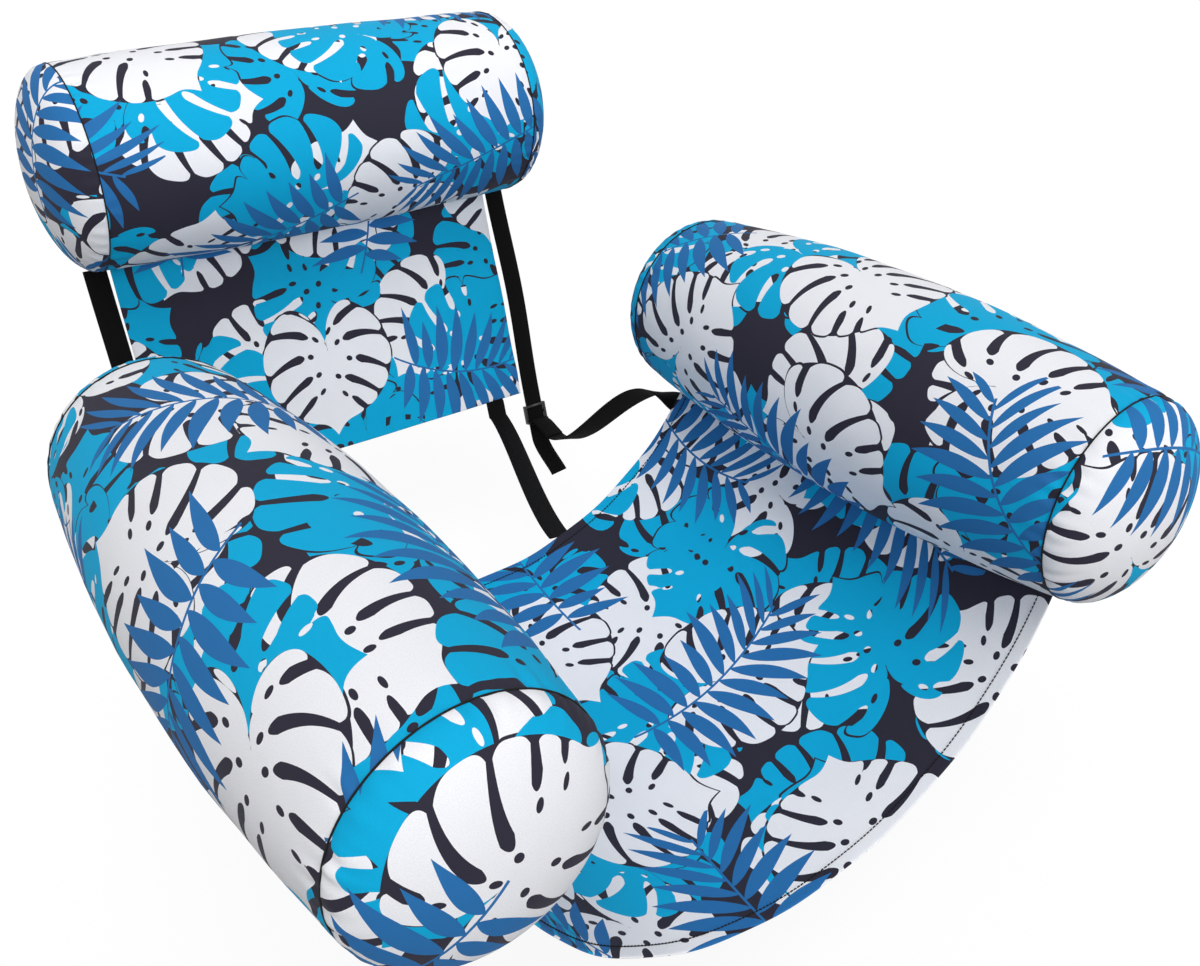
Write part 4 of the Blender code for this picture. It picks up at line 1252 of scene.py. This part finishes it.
def stitch_row(name, node, line, normals):
    """Stitches along a line of points that has the cloth's normal at each."""
    run = np.concatenate([[0.0], np.cumsum(np.linalg.norm(np.diff(line, axis=0), axis=1))])

    def read(places, at):
        return np.array([np.interp(at, run, places[:, part]) for part in range(3)])

    pitch = STITCH_LENGTH + STITCH_GAP
    points = []
    faces = []
    for number in range(int(run[-1] / pitch)):
        first = len(points)
        for share, size, rise in STITCH_SECTIONS:
            at = number * pitch + STITCH_GAP / 2.0 + share * STITCH_LENGTH
            up = read(normals, at)
            across = np.cross(read(line, at + LOOK_AHEAD) - read(line, at - LOOK_AHEAD), up)
            across /= np.linalg.norm(across)
            up /= np.linalg.norm(up)
            middle = read(line, at) + up * (rise * STITCH_RADIUS)
            for angle in round_turns(STITCH_SIDES):
                offset = across * math.cos(angle) + up * math.sin(angle)
                points.append(tuple(middle + offset * (STITCH_RADIUS * size)))
        last = len(points) - STITCH_SIDES
        faces += [list(range(first, first + STITCH_SIDES)), list(range(last, last + STITCH_SIDES))]
        for low in range(first, last, STITCH_SIDES):
            high = low + STITCH_SIDES
            for corner in range(STITCH_SIDES):
                after = (corner + 1) % STITCH_SIDES
                faces.append([low + corner, low + after, high + after, high + corner])
    maps = [(0.0, 0.0)] * sum(len(face) for face in faces)
    made = new_object(name, points, faces, maps, sewing_thread)
    stand_for(made, node, "seat")
    print(name, "has", len(points) // (STITCH_SIDES * len(STITCH_SECTIONS)), "stitches")


line_share = np.linspace(-LINE_END, LINE_END, LINE_STEPS)
for end, way in (("front", -1.0), ("rear", 1.0)):
    line_y = np.full_like(line_share, way * (sling_end - STITCH_INSET))
    on_top = sling_waves(line_y, line_share) + FABRIC / 2.0 + STITCH_RADIUS * STITCH_SUNK
    off_cloth = sling_place(line_y, line_share, NORMAL_LENGTH) - sling_place(line_y, line_share)
    stitch_row(f"seat_{end}_stitches", f"seat_{end}_stitching",
               sling_place(line_y, line_share, on_top), off_cloth)

# %% [markdown]
# The back panel is a flat sheet, hemmed at both sides and along its foot, and sewn to the
# head float along its top. It is held taut between the head float and the straps at its
# corners, so it only shows shallow folds that run towards those corners.

# %% Back panel
TAB_FROM_PANEL_EDGE = 0.034
PANEL_BELOW_COVER = 0.0004
PANEL_ROWS = 26
PANEL_RIPPLE = 0.0012
PANEL_RIPPLE_LENGTHS = (0.26, 0.10)
PANEL_RIPPLE_SEED = 5
CORNER_FOLD = 0.0016
CORNER_FOLD_REACH = (0.17, 0.16)
CORNER_FOLDS = 9.0
CORNER_FOLDS_FROM = 0.05
CORNER_FOLD_RISE = 3.0
PANEL_CALM_TOP = 0.03
PANEL_CUT = (0.9, 7.4)
panel_half_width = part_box("back_panel")[1].x
panel_fall = Vector((0.0, -math.sin(PANEL_LEAN), -math.cos(PANEL_LEAN)))
panel_front = Vector((0.0, panel_fall.z, -panel_fall.y))
head_hinge = head_centre + DOWN * HEAD_MIDDLE_RADIUS
panel_foot = head_hinge + panel_fall * PANEL_LENGTH
tab_from_middle = panel_half_width - TAB_FROM_PANEL_EDGE - WEBBING_WIDTH / 2.0


def panel_place(x, fall, lift):
    """A place on the panel: x across, distance down it, and height off its front face."""
    swell = HEAD_MIDDLE_RADIUS - cover_radius(floats["head"], x)
    top = np.stack([x, 0.0 * x + head_hinge.y, head_hinge.z + PANEL_BELOW_COVER + swell], axis=-1)
    foot = np.stack([x, 0.0 * x + head_hinge.y + panel_fall.y * PANEL_LENGTH,
                     0.0 * x + head_hinge.z + panel_fall.z * PANEL_LENGTH], axis=-1)
    share = (fall / PANEL_LENGTH)[..., None]
    return top * (1.0 - share) + foot * share + lift[..., None] * np.array(panel_front)


def corner_folds(x, fall, way):
    """Folds that fan out from where a strap pulls at the panel's foot."""
    side = (x - way * tab_from_middle) / CORNER_FOLD_REACH[0]
    above = (PANEL_LENGTH - fall) / CORNER_FOLD_REACH[1]
    near_corner = np.exp(-np.hypot(side, above) ** 2)
    fan = np.sin(np.arctan2(side, above + CORNER_FOLDS_FROM) * CORNER_FOLDS * way)
    return CORNER_FOLD * near_corner * fan * np.minimum(above * CORNER_FOLD_RISE, 1.0)


right_half = hem_places(panel_half_width, PANEL_ROWS)
cloth_x = np.concatenate([-right_half[:0:-1], right_half])
cloth_fall = hem_places(PANEL_LENGTH, PANEL_ROWS)
folded_x, side_depth = folded(np.abs(cloth_x), panel_half_width)
folded_fall, foot_depth = folded(cloth_fall, PANEL_LENGTH)
grid_x, grid_fall = np.meshgrid(np.sign(cloth_x) * folded_x, folded_fall)
flat_panel = panel_place(grid_x, grid_fall, 0.0 * grid_x)
lift = PANEL_RIPPLE * soft_waves(flat_panel, PANEL_RIPPLE_SEED, *PANEL_RIPPLE_LENGTHS)
for way in SIDES.values():
    lift += corner_folds(grid_x, grid_fall, way)
lift *= np.minimum(grid_fall / PANEL_CALM_TOP, 1.0)
panel_points = panel_place(grid_x, grid_fall, lift - side_depth[None, :] - foot_depth[:, None])
panel_cloth = np.stack(np.meshgrid(cloth_x + PANEL_CUT[0], PANEL_CUT[1] - cloth_fall), axis=-1)
panel = lay_grid("back_panel_cloth", panel_points, panel_cloth, printed_cloth)
thicken(panel, FABRIC, 0.0)
stand_for(panel, "back_panel", "backrest")
print("panel:", round(2.0 * panel_half_width, 3), "x", PANEL_LENGTH, "m")

# %% [markdown]
# The webbing comes last. Its routes repeat those of the solids, with more points, so that
# they bend like cloth. The straps that end under the sling are held there by squares of
# webbing, which follow the sling's arc and lie just clear of its ripples.

# %% Straps on the sling
RIPPLE_ROOM = 0.0009
PATCH_LENGTH = 0.032
PATCH_STEPS = 9
PATCH_MAP_WIDTH = 0.35
STRAP_STEPS = 48
under_sling = -(FABRIC / 2.0 + GAP + WEBBING / 2.0) - RIPPLE_ROOM


def on_sling(y, share, lift=0.0):
    """One place on the sling."""
    return Vector(sling_place(np.array(y), np.array(share), lift).tolist())


def sling_share(x, y):
    """Share of the sling's half angle at which its arc is x from the middle."""
    radius, half_angle = sling_arc(y)[1:]
    return math.asin(x / radius) / half_angle


def webbing(name, path, across):
    """A strap of the hammock's own webbing."""
    return band(name, path, across, WEBBING_WIDTH, WEBBING, webbing_cloth)


def sewn_patch(name, share_from, share_to, node):
    """A square of webbing sewn flat under the sling's rear edge."""
    shares = np.linspace(share_from, share_to, PATCH_STEPS)
    ys = np.linspace(sling_end - PATCH_LENGTH, sling_end, PATCH_STEPS)
    grid_share, grid_y = np.meshgrid(shares, ys)
    cloth = np.stack([(grid_share - share_from) * PATCH_MAP_WIDTH, grid_y], axis=-1)
    made = lay_grid(name, sling_place(grid_y, grid_share, under_sling), cloth, webbing_cloth)
    thicken(made, WEBBING, 0.0)
    stand_for(made, node, "seat")


print("webbing:", WEBBING_WIDTH * 1000.0, "mm wide")

# %% [markdown]
# The backrest swings on two hinge straps. Each is sewn to a tab of folded webbing under the
# panel's corner, runs forward and down in a lazy curve, and is sewn under the sling's rear
# edge. That edge is the axis of the swing.

# %% Tabs and hinge straps
TAB_LENGTH = 0.026
TAB_FOLD = 0.001
TAB_LAYER_GAP = 0.0001
TAB_STEPS = 8
HINGE_STRAP_FROM_MIDDLE = 0.120
HINGE_STRAP_BELOW_PANEL = 0.0026
HINGE_STRAP_DIP = (0.030, 0.110, -0.020)
HINGE_STRAP_RUN_IN = (0.040, 0.045)
hinge_share = sling_share(HINGE_STRAP_FROM_MIDDLE, sling_end)
hinge_anchor = on_sling(sling_end, hinge_share) + FORWARD * GAP


def tab_and_hinge_strap(side, way):
    """The tab under the panel's corner, the strap that hangs from it, and the strap's patch."""
    out = RIGHT * way
    tab_top = Vector((way * tab_from_middle, panel_foot.y, panel_foot.z))
    tab_foot = tab_top + panel_fall * TAB_LENGTH
    layer = panel_front * (WEBBING / 2.0 + TAB_LAYER_GAP)
    above = tab_foot - panel_fall * TAB_FOLD
    fold = smooth_path([tab_top + layer, above + layer, tab_foot, above - layer, tab_top - layer], TAB_STEPS)
    tab = webbing(f"{side}_panel_tab_webbing", fold, [out] * len(fold))
    stand_for(tab, f"{side}_panel_tab", "backrest")

    anchor = Vector((way * hinge_anchor.x, hinge_anchor.y, hinge_anchor.z))
    sewn_on = panel_front * (WEBBING + GAP + WEBBING / 2.0)
    sewn_foot = tab_foot + sewn_on
    sewn_top = tab_top + panel_fall * HINGE_STRAP_BELOW_PANEL + sewn_on
    dip = anchor + Vector((way * HINGE_STRAP_DIP[0], *HINGE_STRAP_DIP[1:]))
    run_in = sewn_foot + panel_fall * HINGE_STRAP_RUN_IN[0] + panel_front * HINGE_STRAP_RUN_IN[1]
    path = bend(anchor, dip, run_in, sewn_foot, STRAP_STEPS) + [sewn_top]
    hinge_strap = webbing(f"{side}_hinge_strap_webbing", path, [out] * len(path))
    stand_for(hinge_strap, f"{side}_hinge_strap", "backrest")
    edges = sorted(sling_share(HINGE_STRAP_FROM_MIDDLE + move, sling_end) * way
                   for move in (-WEBBING_WIDTH / 2.0, WEBBING_WIDTH / 2.0))
    sewn_patch(f"{side}_hinge_strap_patch_webbing", *edges, f"{side}_hinge_strap_patch")


print("hinge straps leave the sling at", [round(part, 4) for part in hinge_anchor])

# %% [markdown]
# On each side a recline strap falls from the head float's end seam through a ladder slider
# and ends in a loose tail. It gets a little slack above its slider, where nothing pulls it
# straight, and runs straight through the slider's whole travel, so that the two never touch.

# %% Recline straps
STRAP_BESIDE_SEAM = 0.0012
SLIDER_BELOW_PANEL = 0.041
SLIDER_TRAVEL = 0.020
SLIDER_END_CLEARANCE = 0.003
SLIDER_LENGTH = 0.030
RECLINE_STRAP_SLACK = 0.008
TAIL_REACH = (0.006, -0.048, -0.050)
TAIL_CURL = 0.7
TAIL_STEPS = 20
slider_reach = SLIDER_LENGTH / 2.0 + SLIDER_TRAVEL + SLIDER_END_CLEARANCE


def recline_strap(side, way):
    """The strap that the slider runs on; returns the slider's place."""
    strap_top = Vector((way * (HEAD_LENGTH / 2.0 + STRAP_BESIDE_SEAM), head_centre.y,
                        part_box(f"{side}_recline_strap")[1].z))
    slider_place = strap_top + panel_fall * (PANEL_LENGTH + SLIDER_BELOW_PANEL)
    free_share = 1.0 - slider_reach / (slider_place - strap_top).length
    path = []
    for step in range(STRAP_STEPS + 1):
        share = step / STRAP_STEPS
        slack = panel_front * (RECLINE_STRAP_SLACK * math.sin(math.pi * min(share / free_share, 1.0)) ** 2)
        path.append(strap_top.lerp(slider_place, share) + slack)
    straight_end = slider_place + panel_fall * slider_reach
    tail_end = straight_end + Vector((way * TAIL_REACH[0], *TAIL_REACH[1:]))
    tail_pull = panel_fall * ((tail_end - straight_end).length / 3.0)
    path += bend(straight_end, straight_end + tail_pull, straight_end.lerp(tail_end, TAIL_CURL), tail_end,
                 TAIL_STEPS)
    made = webbing(f"{side}_recline_strap_webbing", path, [RIGHT * way] * len(path))
    stand_for(made, f"{side}_recline_strap", "backrest")
    return slider_place


print("recline straps stay straight", round(slider_reach * 1000.0), "mm to both sides of their sliders")

# %% [markdown]
# A second strap comes up from the sling's rear corner to the slider. Its end is folded round
# the slider's lower bar and sewn back on itself, which is the loop. Between its ends it turns
# once more about its own path, so that it shows now its edge and now its face.

# %% Loops and lower straps
SLIDER_CLEARANCE = 0.0006
SLIDER_BAR = 0.0040
LOOP_BAR_DEPTH = 0.0030
LOOP_REACH = 0.057
LOOP_DROP = 0.017
LOOP_SPREAD = 0.021
LOOP_STEPS = 6
CORNER_PATCH_FROM_SEAM = 0.010
LOWER_STRAP_RISE = (0.004, 0.115, 0.020)
LOWER_STRAP_RUN_IN = 0.090
LOWER_STRAP_EARLY_TWIST = 0.6
LOWER_STRAP_EXTRA_TWIST = math.radians(70.0)
half_slider = SLIDER_LENGTH / 2.0
round_bar = WEBBING / 2.0 + GAP
loop_layer = Vector((0.0, 0.0, round_bar - GAP / 2.0))


def strap_loop(side, way, slider_place):
    """The folded webbing that holds the slider; returns where its sewn end lies."""

    def on_slider(along, depth):
        return slider_place + panel_fall * along + panel_front * depth

    loop_end = slider_place + Vector((0.0, -LOOP_REACH, -LOOP_DROP))
    sewn = on_slider(half_slider, LOOP_SPREAD)
    half_way = (loop_end + sewn) / 2.0
    bar_top = half_slider - SLIDER_BAR
    bar_back = WEBBING / 2.0 + GAP + WEBBING + SLIDER_CLEARANCE
    bar_front = bar_back + LOOP_BAR_DEPTH
    slant = round_bar * math.sqrt(0.5)
    points = [loop_end + loop_layer, half_way + loop_layer, sewn + loop_layer]
    points += [on_slider(along, depth) for along, depth in (
        (bar_top - round_bar, bar_front), (bar_top - round_bar, bar_back),
        (bar_top - slant, bar_back - slant), (bar_top, bar_back - round_bar),
        (half_slider, bar_back - round_bar), (half_slider + slant, bar_back - slant),
        (half_slider + round_bar, bar_back), (half_slider + round_bar, bar_front))]
    points += [sewn - loop_layer, half_way - loop_layer, loop_end - loop_layer]
    path = smooth_path(points, LOOP_STEPS)
    loop = webbing(f"{side}_strap_loop_webbing", path, [RIGHT * way] * len(path))
    stand_for(loop, f"{side}_strap_loop")
    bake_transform(loop)
    return loop_end


def lower_strap(side, way, loop_end):
    """The strap from under the sling's corner to the loop, and the patch that holds it."""
    radius, half_angle = sling_arc(sling_end)[1:]
    patch_edge = 1.0 - CORNER_PATCH_FROM_SEAM / radius / half_angle
    patch_end = patch_edge - WEBBING_WIDTH / radius / half_angle
    sewn_patch(f"{side}_corner_patch_webbing", *sorted((way * patch_edge, way * patch_end)),
               f"{side}_corner_patch")
    start = on_sling(sling_end, way * (patch_edge + patch_end) / 2.0, under_sling)
    outer, inner = (on_sling(sling_end, way * share) for share in (patch_edge, patch_end))
    start_across = (outer - inner).normalized()
    rise = start + Vector((way * LOWER_STRAP_RISE[0], *LOWER_STRAP_RISE[1:]))
    strap_end = loop_end - loop_layer
    path = bend(start, rise, strap_end - FORWARD * LOWER_STRAP_RUN_IN, strap_end, STRAP_STEPS)
    across = []
    for step in range(STRAP_STEPS + 1):
        t = (step / STRAP_STEPS) ** LOWER_STRAP_EARLY_TWIST
        forward = path[min(step + 1, STRAP_STEPS)] - path[max(step - 1, 0)]
        extra = Quaternion(forward, way * LOWER_STRAP_EXTRA_TWIST * math.sin(math.pi * t))
        across.append(extra @ (start_across * (1 - t) + RIGHT * way * t).normalized())
    lower = webbing(f"{side}_lower_strap_webbing", path, across)
    stand_for(lower, f"{side}_lower_strap")
    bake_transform(lower)


for side, way in SIDES.items():
    tab_and_hinge_strap(side, way)
    slider_at = recline_strap(side, way)
    sewn_end = strap_loop(side, way, slider_at)
    lower_strap(side, way, sewn_end)
    print(side, "slider at", [round(part, 3) for part in slider_at])

# %% [markdown]
# The ladder sliders keep their solids, because those already have the right bars and gaps.
# A moulded part has no sharp edges, though. A Weld modifier joins the corners that the file
# format split, and a Bevel modifier rounds every edge by a little over half a millimetre.

# %% Sliders
MOULDED_EDGE = 0.0007
EDGE_SEGMENTS = 3
SPLIT_CORNER = 0.00001

for side in SIDES:
    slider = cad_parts[f"{side}_slider"]
    weld = slider.modifiers.new("joined_corners", "WELD")
    weld.merge_threshold = SPLIT_CORNER
    rounding = slider.modifiers.new("moulded_edges", "BEVEL")
    rounding.width = MOULDED_EDGE
    rounding.segments = EDGE_SEGMENTS
    rounding.limit_method = "ANGLE"
    slider.data.materials.clear()
    slider.data.materials.append(slider_nylon)
print("sliders: edges rounded by", MOULDED_EDGE * 1000.0, "mm")

# %% [markdown]
# The floor is a plain sheet of paper. It looks white to the camera, as the photograph's
# background does, but keeps a faint shadow, so that the hammock doesn't seem to float in
# nothing. It throws little light back up, which leaves the undersides dark. It lies low
# enough to stay clear of the strap tails when the backrest swings all the way back.

# %% Floor
FLOOR_BELOW_TAILS = 0.012
FLOOR_HALF_SIZE = 7.0
# Where the record has the axis of the backrest's hinge (y and z), and how far it swings back
BACKREST_HINGE = (0.3013, -0.275182)
BACKREST_SWING = math.radians(30.0)
PAPER = "#707070"
GLOW = 2.97
GLOW_SHARE = 0.30


def seen_directly(tree):
    """1 for rays from the camera, off gloss or through glass, and 0 for light that spreads."""
    path = add(tree, "ShaderNodeLightPath").node.outputs
    rays = {"camera": path["Is Camera Ray"], "glossy": path["Is Glossy Ray"],
            "through": path["Is Transmission Ray"]}
    return work_out(tree, rays, [
        ("camera_or_glossy", "MAXIMUM", "camera", "glossy"),
        ("direct", "MAXIMUM", "camera_or_glossy", "through"),
    ])["direct"]


tail_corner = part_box("left_recline_strap")[0]
hinge_y, hinge_z = BACKREST_HINGE
tail_back = tail_corner.y - hinge_y
tail_down = hinge_z - tail_corner.z
lowest_tail = hinge_z - tail_down * math.cos(BACKREST_SWING) - tail_back * math.sin(BACKREST_SWING)
level = lowest_tail - FLOOR_BELOW_TAILS
floor_corners = [(FLOOR_HALF_SIZE * x, FLOOR_HALF_SIZE * y, level)
                 for x, y in ((-1, -1), (1, -1), (1, 1), (-1, 1))]
floor_mesh = bpy.data.meshes.new("studio_floor")
floor_mesh.from_pydata(floor_corners, [], [(0, 1, 2, 3)])
floor = bpy.data.objects.new("studio_floor", floor_mesh)
bpy.context.scene.collection.objects.link(floor)
floor_paint, tree, shader = new_material("matt_white_paper", {"Base Color": linear(PAPER), "Roughness": 0.9})
glow = add(tree, "ShaderNodeEmission", linear("#FFFFFF"), GLOW)
glow_share = add(tree, "ShaderNodeMath", seen_directly(tree), GLOW_SHARE, operation="MULTIPLY")
paper = add(tree, "ShaderNodeMixShader", glow_share, shader.outputs["BSDF"], glow)
tree.links.new(paper, tree.nodes["Material Output"].inputs["Surface"])
floor_mesh.materials.append(floor_paint)
print("floor at", round(level, 3), "m")

# %% [markdown]
# The picture is lit like a catalogue photograph, which is bright and nearly even, with dark
# shading only where the floats turn away. Two wide softboxes stand so far off that near and
# far floats get the same light, one high up and one low in front, and a white world fills in.

# %% Lamps and world
WORLD_LIGHT = 0.50

world = bpy.data.worlds.new("studio")
bpy.context.scene.world = world
world.use_nodes = True
world_tree = world.node_tree
sky = world_tree.nodes["Background"]
sky.inputs["Color"].default_value = linear("#FFFFFF")
world_strength = add(world_tree, "ShaderNodeMath", seen_directly(world_tree), 1.0 - WORLD_LIGHT, WORLD_LIGHT,
                     operation="MULTIPLY_ADD")
world_tree.links.new(world_strength, sky.inputs["Strength"])


def far_softbox(name, towards, spread, strength):
    """A very large, very far lamp: the same light all over the hammock, from a wide cone."""
    data = bpy.data.lights.new(name, "SUN")
    data.angle = math.radians(spread)
    data.energy = strength
    lamp = bpy.data.objects.new(name, data)
    lamp.rotation_euler = Vector(towards).to_track_quat("Z", "Y").to_euler()
    bpy.context.scene.collection.objects.link(lamp)
    print(name, "spreads over", spread, "degrees")


far_softbox("key_lamp", (-0.20, -0.40, 0.90), 35.0, 1.10)
far_softbox("front_lamp", (-0.15, -0.97, 0.20), 50.0, 1.24)
bpy.context.scene.view_settings.view_transform = "Standard"
